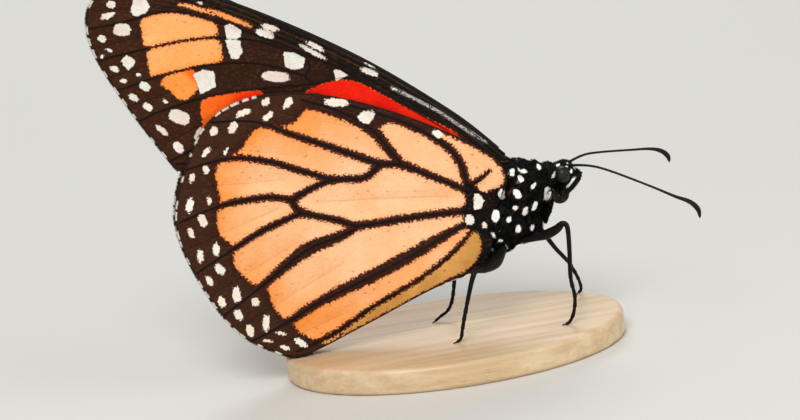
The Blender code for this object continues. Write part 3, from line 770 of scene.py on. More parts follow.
def makeWing(kind, wing, depth, marks, side, word, materials):
    across, down = wings[f"{kind}Cells"]
    bpy.ops.mesh.primitive_grid_add(x_subdivisions=across, y_subdivisions=down, size=1)
    obj = newest(f"{kind}_{word}_membrane")
    flat = verts(obj)
    u, v = flat[:, 0] + 0.5, flat[:, 1] + 0.5
    rows = {name: smoothRoute(wing[name], 400) for name in ("costa", "inner", "root", "outer")}

    def along(name, share):
        row = rows[name]
        at = share * (len(row) - 1)
        return np.stack([np.interp(at, np.arange(len(row)), row[:, k]) for k in (0, 1)], axis=1)

    first, last = rows["costa"][0], rows["costa"][-1]
    low, high = rows["inner"][0], rows["inner"][-1]
    uu, vv = u[:, None], v[:, None]
    corners = first * (1 - uu) * (1 - vv) + last * uu * (1 - vv) + low * (1 - uu) * vv + high * uu * vv
    points = along("costa", u) * (1 - vv) + along("inner", u) * vv + along("root", v) * (1 - uu)
    points = points + along("outer", v) * uu - corners
    found = marks(points, False)
    # the membrane is gently pleated: out along the veins, in along the folds
    ridge, crease = (softStep(found[name], wings[f"{name}Reach"], 0.0) for name in ("vein", "fold"))
    pleat = wings["pleat"] * (ridge - crease)
    y = depth(u, v, points[:, 0], points[:, 1]) + pleat * softStep(u, 0.03, 0.2)
    setVerts(obj, np.stack([points[:, 0], side * y, points[:, 1]], axis=1))
    # grid faces look down the y axis one way; the underside of a closed wing faces out
    pick(obj)
    bpy.ops.object.mode_set(mode="EDIT")
    bpy.ops.mesh.select_all(action="SELECT")
    if obj.data.polygons[0].normal.y * side < 0:
        bpy.ops.mesh.flip_normals()
    bpy.ops.object.mode_set(mode="OBJECT")
    applyModifier(obj, "SOLIDIFY", thickness=wings["thickness"], offset=0,
                  material_offset=1, material_offset_rim=1)
    co = verts(obj)
    inward = co[:, 1] * side < np.tile(y, 2)
    under, above = found, marks(points, True)
    for name in under:
        both = np.where(inward, np.tile(above[name], 2), np.tile(under[name], 2))
        addFloat(obj, name, both)
    # both faces laid flat, one above the other, for the baked colours
    layer = obj.data.uv_layers.new(name="OFBake")
    loops = readAll(obj.data.loops, "vertex_index", kind=int)
    faces = obj.data.polygons
    faceSide, perFace = (readAll(faces, name, kind=int) for name in ("material_index", "loop_total"))
    loopSide = np.repeat(faceSide, perFace)
    lowest, size = points.min(axis=0), np.ptp(points, axis=0).max()
    spread = (co[loops][:, [0, 2]] - lowest) / size
    tall = np.ptp(points[:, 1]) / size
    scale = 0.98 / max(1.0, 2 * tall + 0.04)
    uv = spread * scale + 0.01
    uv[:, 1] += loopSide * (tall + 0.03) * scale
    layer.data.foreach_set("uv", uv.ravel())
    finishPiece(obj, materials, [f"{kind}_{word}"])
    return points, y


def makeWings():
    ridges, fringe = veinMaterial(), fringeMaterial()
    pairs = (("forewing", forewing, forewingDepth, forewingMarks),
             ("hindwing", hindwing, hindwingDepth, hindwingMarks))
    for kind, wing, depth, marks in pairs:
        under = wingMaterial(f"{kind} underside scales", wingLooks[kind])
        above = wingMaterial(f"{kind} upperside scales", {**wingLooks[kind], **upperLook})
        for side, word in bothSides:
            sheet = makeWing(kind, wing, depth, marks, side, word, [under, above])
            makeVeins(kind, wing, sheet, side, word, ridges)
            makeFringe(kind, wing, sheet, side, word, fringe)
        print(f"{kind}s")


# Veins stand proud of the membrane as fine ridges, thickest at the root.
veinLook = {
    "rootRadius": 0.1,
    "tipRadius": 0.075,
    "costaRadius": 0.16,
    # the radius changes over this length, starting at this x
    "from": 8,
    "reach": 42,
    "pointsEach": 60,
    "sides": 2,
}


def depthAt(sheet, x, z):
    # how far from the middle plane the membrane is at these places, from its nearest points
    points, y = sheet
    found = []
    for place in zip(x, z):
        gap = np.hypot(points[:, 0] - place[0], points[:, 1] - place[1])
        near = np.argpartition(gap, 4)[:4]
        share = 1 / (gap[near] + 1e-3)
        found.append((y[near] * share).sum() / share.sum())
    return np.array(found)


def tubeAlong(name, points, radii, sides=3):
    # a closed tube through points, its radius changing along it
    data = bpy.data.curves.new(name, "CURVE")
    data.dimensions = "3D"
    data.bevel_depth = 1.0
    data.bevel_resolution = sides
    data.use_fill_caps = True
    spline = data.splines.new("POLY")
    spline.points.add(len(points) - 1)
    for point, place, radius in zip(spline.points, points, radii):
        point.co = (*place, 1)
        point.radius = radius
    obj = bpy.data.objects.new(name, data)
    bpy.context.scene.collection.objects.link(obj)
    pick(obj)
    bpy.ops.object.convert(target="MESH")
    bpy.ops.object.mode_set(mode="EDIT")
    bpy.ops.mesh.select_all(action="SELECT")
    bpy.ops.mesh.remove_doubles(threshold=1e-4)
    bpy.ops.mesh.normals_make_consistent(inside=False)
    bpy.ops.object.mode_set(mode="OBJECT")
    return newest(name)


def veinMaterial():
    # Chitin tubes under black scales: satin, catching a narrow light along the top.
    made, tree = newMaterial("wing vein chitin", Roughness=0.55, Specular_IOR_Level=0.2)
    mottle = addNode(tree, "noise", addNode(tree, "place"), 2500.0, 2.0)
    return finishMaterial(made, layered(tree, "#060302", (mottle, 0.35, 0.65, 1.0, "#150a06")))


def makeVeins(kind, wing, sheet, side, word, made):
    tubes = []
    for name, points in {**wing["veins"], "costa": wing["costa"]}.items():
        route = smoothRoute(points, veinLook["pointsEach"])
        if kind == "hindwing" and name != "costa":
            route = route[insideGap(route[:, :2], np.array(wing["rootPatch"])) < 0.15]
        x, z = route[:, 0], route[:, 1]
        thick = name == "costa" and kind == "forewing"
        root = veinLook["costaRadius" if thick else "rootRadius"]
        out = np.clip((veinLook["from"] - x) / veinLook["reach"], 0, 1)
        radii = root + (veinLook["tipRadius"] - root) * out
        middle = np.stack([x, side * depthAt(sheet, x, z), z], axis=1)
        tubes.append(tubeAlong(name, middle, radii, veinLook["sides"]))
    finishPiece(joinAll(f"{kind}_{word}_veins", tubes), [made])


# Along the outer edge stands a fringe of hair scales, black with white dashes.
fringeLook = {
    "length": 0.34,
    "width": 0.065,
    "gap": 0.04,
    "rows": 2,
    "dash": 0.5,
    # how far hairs lean along the edge and out of the wing's plane, and how their roots are placed
    "lean": 0.22,
    "splay": 0.12,
    "stray": 0.03,
    "sink": 0.08,
}


def fringeMaterial():
    # Hair scales of the fringe: matt, black-brown or white.
    made, tree = newMaterial("fringe hair scales", Roughness=0.7, Specular_IOR_Level=0.2)
    tip, spot = (addNode(tree, "mark", attribute_name=name) for name in ("tip", "spot"))
    dark = addNode(tree, "mix", tip, "#1c100a", "#3c281d")
    return finishMaterial(made, layered(tree, dark, (spot, 0.04, -0.04, 1.0, "#e8e2d6")))


def makeFringe(kind, wing, sheet, side, word, made):
    edge = smoothRoute(wing["outer"], 600)
    if kind == "hindwing":
        edge = smoothRoute([wing["costa"][-2], *wing["outer"], wing["inner"][-2]], 700)
    reach = reachAlong(edge)
    count = int(reach[-1] / fringeLook["gap"]) * fringeLook["rows"]
    at = np.sort(draw.random(count)) * reach[-1]
    x, z = (np.interp(at, reach, edge[:, k]) for k in (0, 1))
    run = np.stack([np.interp(at, reach, np.gradient(edge[:, k])) for k in (0, 1)], axis=1)
    run = unit(run)
    # out of the wing, whichever way round the edge runs
    out = np.stack([run[:, 1], -run[:, 0]], axis=1)
    middle = edge.mean(axis=0)
    out *= np.sign(((np.stack([x, z], axis=1) - middle) * out).sum(axis=1))[:, None]
    lie = out + run * draw.normal(0, fringeLook["lean"], count)[:, None]
    lie = unit(np.stack([lie[:, 0], draw.normal(0, fringeLook["splay"], count), lie[:, 1]], axis=1))
    y = side * depthAt(sheet, x, z) + draw.normal(0, fringeLook["stray"], count)
    sunk = out * fringeLook["sink"]
    places = np.stack([x - sunk[:, 0], y, z - sunk[:, 1]], axis=1)
    facing = np.tile((0.0, float(side), 0.0), (count, 1))
    spots = np.minimum.reduce([np.hypot(x - a, z - b) for a, b in wing["dashes"]]) - fringeLook["dash"]
    length = fringeLook["length"] * (0.7 + 0.5 * draw.random(count))
    width = fringeLook["width"] * (0.8 + 0.4 * draw.random(count))
    rootUv = np.stack([at / reach[-1], draw.random(count)], axis=1) * 0.99 + 0.005
    obj = tuftMesh(f"{kind}_{word}_fringe", places, facing, lie, length, width, spots, rootUv)
    finishPiece(obj, [made])


# The body's skin, from the same sizes as the solids.
body = {
    "thorax": [((9.3, 0, 18.2), (3.5, 2.75, 4.1)), ((11.5, 0, 19.4), (1.6, 1.8, 2.35)),
               ((6.6, 0, 15.2), (3.4, 2.6, 4.2)), ((9.0, 0, 14.1), (3.0, 2.0, 2.3)),
               ((8.2, 1.9, 21.0), (1.5, 0.8, 1.4)), ((8.2, -1.9, 21.0), (1.5, 0.8, 1.4))],
    "head": ((15.0, 0, 19.4), (1.6, 1.45, 1.85)),
    "neck": ((13.2, 0, 19.5), (1.3, 1.35, 1.85)),
    "waist": (6.5, 0, 12.1),
    "tip": (-13.5, 0, 7.3),
    "abdomenRadii": [1.5, 1.85, 1.95, 1.95, 1.9, 1.8, 1.65, 1.45, 1.1, 0.7, 0.0],
    "segments": 8,
    "segmentDepth": 0.13,
    # half the abdomen's width, the degrees below level of its two rows of spots, and their radius
    "abdomenWidth": 1.8,
    "spotRows": (28.0, 62.0),
    "rowSpotRadius": 0.22,
    "palp": [(14.1, 0.85, 17.1), (15.0, 0.85, 17.6), (15.9, 0.8, 18.3), (16.6, 0.7, 19.0),
             (17.0, 0.65, 19.6)],
    "palpRadii": [0.6, 0.64, 0.6, 0.5, 0.36],
    "voxel": 0.13,
    "coatDepth": 0.2,
    "white": "#fffcf6",
}
# White scale spots as (x, y, z, radius), or with half their length too (dx, dy, dz).
# Each lies on both sides.
bodySpots = [
    (8.6, 2.7, 21.1, 0.39, -0.02, 0.01, -0.17), (9.9, 2.0, 21.1, 0.35, 0.26, -0.08, -0.18),
    (12.1, 1.1, 21.0, 0.37, -0.02, 0.07, -0.07), (9.5, 2.3, 20.2, 0.32, 0.04, 0.04, -0.12),
    (8.0, 2.7, 20.6, 0.12), (8.8, 2.7, 18.5, 0.42, 0.12, 0.02, -0.22),
    (7.1, 1.9, 18.7, 0.4, -0.04, 0.01, -0.31), (11.0, 2.3, 19.1, 0.28, 0.20, -0.11, 0.14),
    (12.55, 0.85, 17.6, 0.48, 0.12, -0.2, 0.33), (10.8, 2.0, 16.6, 0.36, -0.08, -0.04, -0.24),
    (8.4, 2.5, 16.8, 0.38), (9.6, 2.2, 16.2, 0.32, -0.04, -0.09, -0.26),
    (4.5, 1.0, 18.0, 0.55, -0.03, 0.28, -0.29), (6.0, 2.5, 16.3, 0.52, -0.04, 0.04, -0.25),
    (7.6, 2.5, 15.6, 0.42), (8.6, 2.0, 14.2, 0.36, -0.02, -0.03, -0.18),
    (10.3, 1.65, 14.0, 0.28, -0.01, 0, -0.12), (10.0, 1.8, 15.0, 0.16, 0.01, 0.02, -0.15),
    (4.6, 2.1, 15.2, 0.23, -0.02, -0.01, -0.15), (5.5, 2.3, 14.0, 0.23, 0.09, -0.03, -0.26),
    (6.3, 2.3, 13.1, 0.29, 0.12, 0, -0.02), (7.0, 1.7, 12.0, 0.27, 0.07, -0.21, -0.27),
    (5.4, 1.2, 12.0, 0.26, 0.12, -0.09, -0.16), (4.9, 1.7, 12.8, 0.14), (11.7, 0.5, 21.7, 0.16),
    (13.0, 0.8, 20.9, 0.14), (6.3, 2.5, 14.4, 0.15), (8.6, 2.5, 19.8, 0.11), (9.6, 0.5, 22.3, 0.25),
    (7.6, 0.5, 22.3, 0.25), (13.68, 1.12, 19.72, 0.2, 0.22, -0.09, 0.24), (14.31, 0.6, 20.7, 0.24),
    (15.26, 0.99, 20.46, 0.13), (15.49, 0.67, 20.74, 0.13), (15.77, 1.05, 19.84, 0.17, 0.08, -0.03, 0.1),
    (16.25, 0.45, 19.97, 0.18, -0.05, 0.1, 0.1), (15.56, 1.05, 18.5, 0.14, 0.5, -0.04, 0.48),
    (14.1, 0.2, 21.15, 0.15), (13.8, 1.25, 17.5, 0.2),
]
# Dull red scales at the wing roots and behind the eye, in the same way
bodyReds = [(8.2, 2.5, 19.0, 0.22, 0.32, 0.05, 0.26), (8.9, 2.5, 20.5, 0.16), (6.3, 1.3, 11.6, 0.17),
            (14.0, 1.8, 20.6, 0.12)]


def foldSides(co):
    # both sides of the body laid on its left
    return np.stack([co[:, 0], np.abs(co[:, 1]), co[:, 2]], axis=1)


def patchGap(co, patches):
    # distance to the nearest round or long patch, below 0 inside one, the same on both sides
    folded = foldSides(co)
    best = np.full(len(co), 9.0)
    for x, y, z, radius, *half in patches:
        centre, half = np.array((x, y, z)), np.array(half or (0, 0, 0))
        gap, _ = toSegments(folded, np.array([centre - half, centre + half]))
        best = np.minimum(best, gap - radius)
    return best


def bodySpotGap(co):
    # distance to the nearest white spot
    folded = foldSides(co)
    best = patchGap(co, bodySpots)
    # the abdomen carries two rows of small pale spots low on each side, one to a segment
    front, back = np.array(body["waist"]), np.array(body["tip"])
    length = np.linalg.norm(back - front)
    along = (back - front) / length
    share = (folded - front) @ along / length * body["segments"]
    sideways = np.array([0, 1.0, 0])
    low = np.cross(along, sideways)
    low = low if low[2] < 0 else -low
    offset = folded - front
    angle = np.degrees(np.arctan2(offset @ low, offset @ sideways))
    onAbdomen = (share > 0.6) & (share < body["segments"] - 0.6)
    for place in body["spotRows"]:
        across = np.abs(angle - place) / 57.3 * body["abdomenWidth"]
        lengthwise = np.abs(share - np.floor(share) - 0.5) * length / body["segments"]
        gap = np.hypot(across, lengthwise * 0.45) - body["rowSpotRadius"]
        best = np.where(onAbdomen, np.minimum(best, gap), best)
    return best


def ball(shape, segments=48, rings=32):
    bpy.ops.mesh.primitive_uv_sphere_add(segments=segments, ring_count=rings, radius=1, location=shape[0])
    obj = newest("lobe")
    obj.scale = shape[1]
    pick(obj)
    bpy.ops.object.transform_apply()
    return obj


def makeAbdomen():
    # a ball drawn out along the body, its rings set to the outline and nipped between the segments
    bpy.ops.mesh.primitive_uv_sphere_add(segments=48, ring_count=140, radius=1)
    obj = newest("abdomen_skin")
    co = verts(obj)
    front, back = Vector(body["waist"]), Vector(body["tip"])
    length = (back - front).length
    share = np.arccos(np.clip(co[:, 2], -1, 1)) / math.pi
    radii = smoothRoute([(i, radius) for i, radius in enumerate(body["abdomenRadii"])], 200)
    radius = np.interp(share * (len(body["abdomenRadii"]) - 1), radii[:, 0], radii[:, 1])
    radius = radius * np.clip(share / 0.04, 0, 1) ** 0.5
    phase = share * body["segments"] + 0.15
    nip = np.exp(-((phase - np.round(phase)) / 0.11) ** 2)
    radius = np.maximum(radius - body["segmentDepth"] * nip * (radius > 0.3), 0)
    around = np.hypot(co[:, 0], co[:, 1])
    around[around < 1e-6] = 1
    co = np.stack([co[:, 0] / around * radius, co[:, 1] / around * radius, share * length], axis=1)
    setVerts(obj, co)
    turn = (back - front).to_track_quat("Z", "Y").to_matrix().to_4x4()
    obj.matrix_world = Matrix.Translation(front) @ turn
    pick(obj)
    bpy.ops.object.transform_apply()
    return obj


def skinMaterial():
    # Chitin under short black scales: near black and matt, with white scale spots.
    made, tree = newMaterial("monarch body cuticle", Roughness=0.65, Specular_IOR_Level=0.2)
    spot, red = (addNode(tree, "mark", attribute_name=name) for name in ("spot", "red"))
    rag = addNode(tree, "noise", addNode(tree, "place"), 4000.0, 2.0)
    gap = addNode(tree, "math", spot, addNode(tree, "ramp", rag, 0.3, 0.7, -0.06, 0.06), operation="ADD")
    shade = layered(tree, "#050504", (rag, 0.4, 0.75, 1.0, "#12110f"), (red, 0.06, -0.06, 1.0, "#5d1f22"),
                    (gap, 0.04, -0.04, 1.0, body["white"]))
    return finishMaterial(made, shade, rag, 0.5, 0.00008)


def makeSkin():
    flesh = [ball(shape) for shape in (*body["thorax"], body["head"], body["neck"])]
    flesh.append(makeAbdomen())
    for side in (-1, 1):
        palp = [(x, side * y, z, r) for (x, y, z), r in zip(body["palp"], body["palpRadii"])]
        route = smoothRoute(palp, 24)
        flesh.append(tubeAlong("palp_skin", route[:, :3], route[:, 3], 5))
    skin = joinAll("body_skin", flesh)
    skin.data.remesh_voxel_size = body["voxel"]
    pick(skin)
    bpy.ops.object.voxel_remesh()
    applyModifier(skin, "SMOOTH", factor=0.5, iterations=6)
    setVerts(skin, verts(skin) - body["coatDepth"] * normals(skin))
    applyModifier(skin, "SMOOTH", factor=0.5, iterations=2)
    addFloat(skin, "spot", bodySpotGap(verts(skin)))
    addFloat(skin, "red", patchGap(verts(skin), bodyReds))
    return skin


# The coat: fine tapering tufts of three sides that lie back along the body.
coat = {
    "thorax": {"count": 12000, "length": (0.3, 0.68), "width": 0.05, "lift": 0.42},
    "head": {"count": 3600, "length": (0.16, 0.36), "width": 0.036, "lift": 0.6},
    "abdomen": {"count": 7000, "length": (0.22, 0.42), "width": 0.055, "lift": 0.22},
    "ruff": {"count": 2600, "length": (0.45, 0.95), "width": 0.04, "lift": 1.5, "white": 1.0},
    "forelegs": {"count": 3000, "length": (0.16, 0.36), "width": 0.04, "lift": 0.5},
    # the head's coat begins at this x, and the ruff grows between these corners
    "headFrom": 13.2,
    "chestFrom": (11.6, -0.8, 15.2),
    "chestTo": (14.2, 0.8, 18.7),
    # how the hairs of each part lie
    "back": (-0.75, 0.0, -0.5),
    "palpUp": (1.0, 0, 0.7),
    "crownBack": (-0.8, 0, 0.3),
    "chestDown": (0.95, 0.0, -0.35),
    "legDown": (0.1, 0.0, -1.0),
    "whiteLength": 0.62,
    "whiteWidth": 1.7,
    "patch": 0.003,
    "sway": 0.16,
    "sink": 0.03,
    "shag": 0.35,
}


def tuftMesh(name, roots, normal, lie, length, width, spots, rootUv):
    # each tuft is a bent three-sided spike: a ring at the root, one at the middle and a tip
    count = len(roots)
    across = unit(np.cross(normal, lie))
    rise = np.cross(lie, across)
    angles = np.radians([90, 210, 330])
    parts = []
    for share, thick, bend in ((0.0, 1.0, 0.0), (0.5, 0.75, 0.10)):
        centre = roots + lie * (length * share)[:, None] - normal * (length * bend)[:, None] * share
        for angle in angles:
            ring = across * math.cos(angle) + rise * math.sin(angle) * 0.5
            parts.append(centre + ring * (width * thick)[:, None])
    parts.append(roots + lie * length[:, None] - normal * (length * 0.16)[:, None])
    co = np.stack(parts, axis=1).reshape(-1, 3)
    shape = [(0, 1, 4, 3), (1, 2, 5, 4), (2, 0, 3, 5), (3, 4, 6), (4, 5, 6), (5, 3, 6), (2, 1, 0)]
    base = np.arange(count) * 7
    faces = [tuple(b + i for i in face) for b in base.tolist() for face in shape]
    mesh = bpy.data.meshes.new(name)
    mesh.from_pydata(co.tolist(), [], faces)
    obj = bpy.data.objects.new(name, mesh)
    bpy.context.scene.collection.objects.link(obj)
    addFloat(obj, "spot", np.repeat(spots, 7))
    addFloat(obj, "tip", np.tile([0, 0, 0, 0.5, 0.5, 0.5, 1.0], count))
    # the tuft's own small patch of the map, at its root's place
    half = coat["patch"] / 2
    local = np.array([(-1, -1), (0, -1), (1, -1), (-1, 0), (0, 0), (1, 0), (0, 1)]) * half
    uvs = np.clip(rootUv[:, None, :] + local[None], 0, 1).reshape(-1, 2)
    loops = readAll(mesh.loops, "vertex_index", kind=int)
    mesh.uv_layers.new(name="OFBake").data.foreach_set("uv", uvs[loops].ravel())
    mesh.validate()
    return obj


def scatter(obj, count, keep):
    # count random points on the faces whose middles pass keep, with their normals
    mesh = obj.data
    mesh.calc_loop_triangles()
    tris = readAll(mesh.loop_triangles, "vertices", 3, int)
    co, facing = verts(obj), normals(obj)
    tris = tris[keep(co[tris].mean(axis=1))]
    a, b, c = (co[tris[:, i]] for i in range(3))
    area = np.linalg.norm(np.cross(b - a, c - a), axis=1)
    chosen = draw.choice(len(tris), count, p=area / area.sum())
    s, t = draw.random(count), draw.random(count)
    flip = s + t > 1
    s[flip], t[flip] = 1 - s[flip], 1 - t[flip]
    points = a[chosen] + (b - a)[chosen] * s[:, None] + (c - a)[chosen] * t[:, None]
    normal = facing[tris[chosen]].mean(axis=1)
    return points, unit(normal)


def coatMaterial():
    # Hair-like scales: matt black, white where they grow from a spot, dull red at the wing roots.
    made, tree = newMaterial("monarch hair scales", Roughness=0.6, Specular_IOR_Level=0.06)
    tip, red, spot = (addNode(tree, "mark", attribute_name=name) for name in ("tip", "red", "spot"))
    return finishMaterial(made, layered(tree, "#020202", (tip, 0.2, 1.0, 1.0, "#080705"),
                                        (red, 0.04, -0.04, 1.0, "#6e262b"),
                                        (spot, 0.03, -0.03, 1.0, body["white"])))


def makeCoat(skin, part, made, keep, flow, axisFrom, axisTo):
    look = coat[part]
    points, normal = scatter(skin, look["count"], keep)
    spots = bodySpotGap(points)
    white = spots < 0
    lie = flow(points)
    lie = lie - normal * (lie * normal).sum(axis=1)[:, None]
    lie /= np.linalg.norm(lie, axis=1)[:, None] + 1e-9
    lie = lie + draw.normal(0, coat["sway"], lie.shape)
    lift = look["lift"] * (0.6 + 0.8 * draw.random(len(points))) * np.where(white, 0.6, 1)
    lie = unit(lie + normal * lift[:, None])
    short, long = look["length"]
    length = short + (long - short) * draw.random(len(points))
    length = length * np.where(white, look.get("white", coat["whiteLength"]), 1)
    # the palps and the brow are shaggier
    length = length * (1 + coat["shag"] * softStep(points[:, 0], 15.0, 16.2))
    # black tufts stop short of the spots, and white ones stay inside them
    for share in (0.55, 0.6):
        strays = (bodySpotGap(points + lie * length[:, None]) < 0.03) != white
        length = np.where(strays, length * share, length)
    width = look["width"] * (0.8 + 0.4 * draw.random(len(points)))
    width = width * np.where(white, coat["whiteWidth"], 1)
    # where the root lies round the part and along it, as the skin unrolls
    front, back = np.array(axisFrom, float), np.array(axisTo, float)
    reach = np.linalg.norm(back - front)
    along = (back - front) / reach
    offset = points - front
    share = offset @ along / reach
    turn = np.arctan2(offset[:, 1], offset @ np.cross(along, (0, 1, 0)))
    rootUv = np.stack([turn / (2 * math.pi) + 0.5, np.clip(share, 0, 1)], axis=1) * 0.99 + 0.005
    roots = points - normal * coat["sink"]
    obj = tuftMesh(f"coat_{part}", roots, normal, lie, length, width, spots, rootUv)
    addFloat(obj, "red", np.repeat(patchGap(points, bodyReds), 7))
    return finishPiece(obj, [made])


def makeBody():
    skin = makeSkin()
    made = coatMaterial()

    def isHead(p):
        return p[:, 0] > coat["headFrom"]

    def isAbdomen(p):
        front, tail = np.array(body["waist"]), np.array(body["tip"])
        along = (tail - front) / np.linalg.norm(tail - front)
        offset = p - front
        away = np.linalg.norm(offset - (offset @ along)[:, None] * along, axis=1)
        return (offset @ along > 1.0) & (away < 2.1) & (p[:, 2] < 13.5)

    def isThorax(p):
        return ~isHead(p) & ~isAbdomen(p)

    def thoraxFlow(p):
        return np.array(coat["back"]) + (p - (9.0, 0, 17.5)) * (0.0, 0.0, 0.05)

    def headFlow(p):
        # forwards and up on the palps, back over the crown
        forward = softStep(18.9 - p[:, 2], -0.2, 0.6)[:, None]
        return np.array(coat["palpUp"]) * forward + np.array(coat["crownBack"]) * (1 - forward)

    def abdomenFlow(p):
        return np.tile(np.array(body["tip"]) - np.array(body["waist"]), (len(p), 1))

    def isChest(p):
        return ((p > coat["chestFrom"]) & (p < coat["chestTo"])).all(axis=1)

    def chestFlow(p):
        return np.tile(coat["chestDown"], (len(p), 1))

    makeCoat(skin, "thorax", made, isThorax, thoraxFlow, (12.5, 0, 20.5), (4.5, 0, 12.5))
    makeCoat(skin, "ruff", made, isChest, chestFlow, (13.2, 0, 19.5), (12.0, 0, 14.0))
    makeCoat(skin, "head", made, isHead, headFlow, (17.2, 0, 19.4), (13.0, 0, 19.2))
    makeCoat(skin, "abdomen", made, isAbdomen, abdomenFlow, body["waist"], body["tip"])
    finishPiece(skin, [skinMaterial()],
                ["head", "neck", "thorax", "abdomen", "palp_left", "palp_right"])
    print("skin and coat")


# The eyes, and the width of a facet
eye = {"centre": (14.58, 1.45, 19.67), "radii": (0.88, 0.86, 0.97), "facet": 0.045}


def eyeMaterial():
    # A compound eye: glassy black cuticle over olive pigment, cut into tiny facets.
    made, tree = newMaterial("compound eye cuticle", Roughness=0.38, Coat_Weight=0.08,
                             Coat_Roughness=0.22, Specular_IOR_Level=0.22)
    place = addNode(tree, "place")
    # real facets are 0.02 mm across, drawn at twice that so that they show
    facets = addNode(tree, "cellEdges", place, 1 / (eye["facet"] * mm))
    clouds = addNode(tree, "noise", place, 1100.0, 1.0)
    # painted shade: the eye darkens towards its outline as seen, leaving a lighter middle as a painted
    # sheen
    rim = addNode(tree, "facing", 0.35)
    shade = layered(tree, "#11110a", (clouds, 0.4, 0.65, 1.0, "#211f14"), (rim, 0.1, 0.75, 1.0, "#060605"))
    return finishMaterial(made, shade, facets, 0.35, 0.00003)


def makeEyes():
    made = eyeMaterial()
    x, y, z = eye["centre"]
    for side, word in bothSides:
        obj = ball(((x, side * y, z), eye["radii"]), 64, 48)
        obj.name = obj.data.name = f"eye_{word}_facets"
        finishPiece(obj, [made], [f"eye_{word}"])
    print("eyes")


def cuticleMaterial(name, dark, light, roughness):
    # Bare black chitin with a few fine scales: satin to glossy, slightly brown where it is thin.
    made, tree = newMaterial(name, Roughness=roughness, Specular_IOR_Level=0.18)
    mottle = addNode(tree, "noise", addNode(tree, "place"), 2200.0, 3.0)
    return finishMaterial(made, layered(tree, dark, (mottle, 0.35, 0.7, 1.0, light)), mottle, 0.3, 0.00004)


# The tongue, coiled up: where its coil lies and how thick the tube is at its root and tip
proboscis = {
    "centre": (14.2, 0, 17.0),
    "root": [(14.6, 0, 18.3), (14.55, 0, 18.0)],
    "start": 75,
    "turns": 3.3,
    "outerRadius": 1.02,
    "innerRadius": 0.03,
    "tube": (0.23, 0.13),
    "widening": 1.35,
}


def makeProboscis():
    # a watch-spring coil that starts between the palps
    turn = np.linspace(0, proboscis["turns"] * 2 * math.pi, 150)
    share = turn / turn[-1]
    outer, inner = proboscis["outerRadius"], proboscis["innerRadius"]
    radius = outer + (inner - outer) * share
    angle = math.radians(proboscis["start"]) - turn
    x, _, z = proboscis["centre"]
    coil = np.stack([x + radius * np.cos(angle), np.zeros_like(turn), z + radius * np.sin(angle)], axis=1)
    points = np.vstack([np.array(proboscis["root"]), coil])
    thick, thin = proboscis["tube"]
    radii = np.concatenate([[thick, thick], thick + (thin - thick) * share])
    obj = tubeAlong("proboscis_coil", points, radii, 4)
    co = verts(obj)
    co[:, 1] *= proboscis["widening"]
    setVerts(obj, co)
    made = cuticleMaterial("proboscis cuticle", "#16120b", "#403425", 0.35)
    finishPiece(obj, [made], ["proboscis"])
    print("proboscis")


# Feelers, y outwards, with the radii of the real ones
feelers = {
    "right": [(15.7, 0.5, 20.4), (17.9, 1.6, 20.2), (20.0, 3.0, 19.5), (23.8, 5.6, 17.7),
              (26.1, 7.2, 16.5), (27.6, 8.1, 15.8), (28.4, 8.6, 14.9), (28.5, 8.8, 13.8)],
    "left": [(15.7, 0.5, 20.5), (17.8, 1.3, 20.9), (20.0, 2.2, 20.7), (24.0, 4.2, 19.9),
             (26.6, 5.7, 19.3), (28.2, 6.7, 18.6), (29.1, 7.3, 17.7), (29.3, 7.6, 16.8)],
    "radii": [0.17, 0.15, 0.14, 0.14, 0.18, 0.27, 0.3, 0.12],
    "ring": 0.34,
    "ringDepth": 0.1,
}


def makeFeelers():
    made = cuticleMaterial("antenna cuticle", "#070605", "#1c130e", 0.45)
    for side, word in bothSides:
        feeler = [(x, side * y, z, r) for (x, y, z), r in zip(feelers[word], feelers["radii"])]
        route = smoothRoute(feeler, 240)
        reach = reachAlong(route[:, :3])
        wave = 0.5 + 0.5 * np.cos(reach / feelers["ring"] * 2 * math.pi)
        rings = 1 - feelers["ringDepth"] * wave ** 4
        end = np.sqrt(np.clip((reach[-1] - reach) / 0.3, 0.02, 1))
        obj = tubeAlong(f"antenna_{word}_rings", route[:, :3], route[:, 3] * rings * end, 4)
        finishPiece(obj, [made], [f"antenna_{word}"])
    print("antennae")


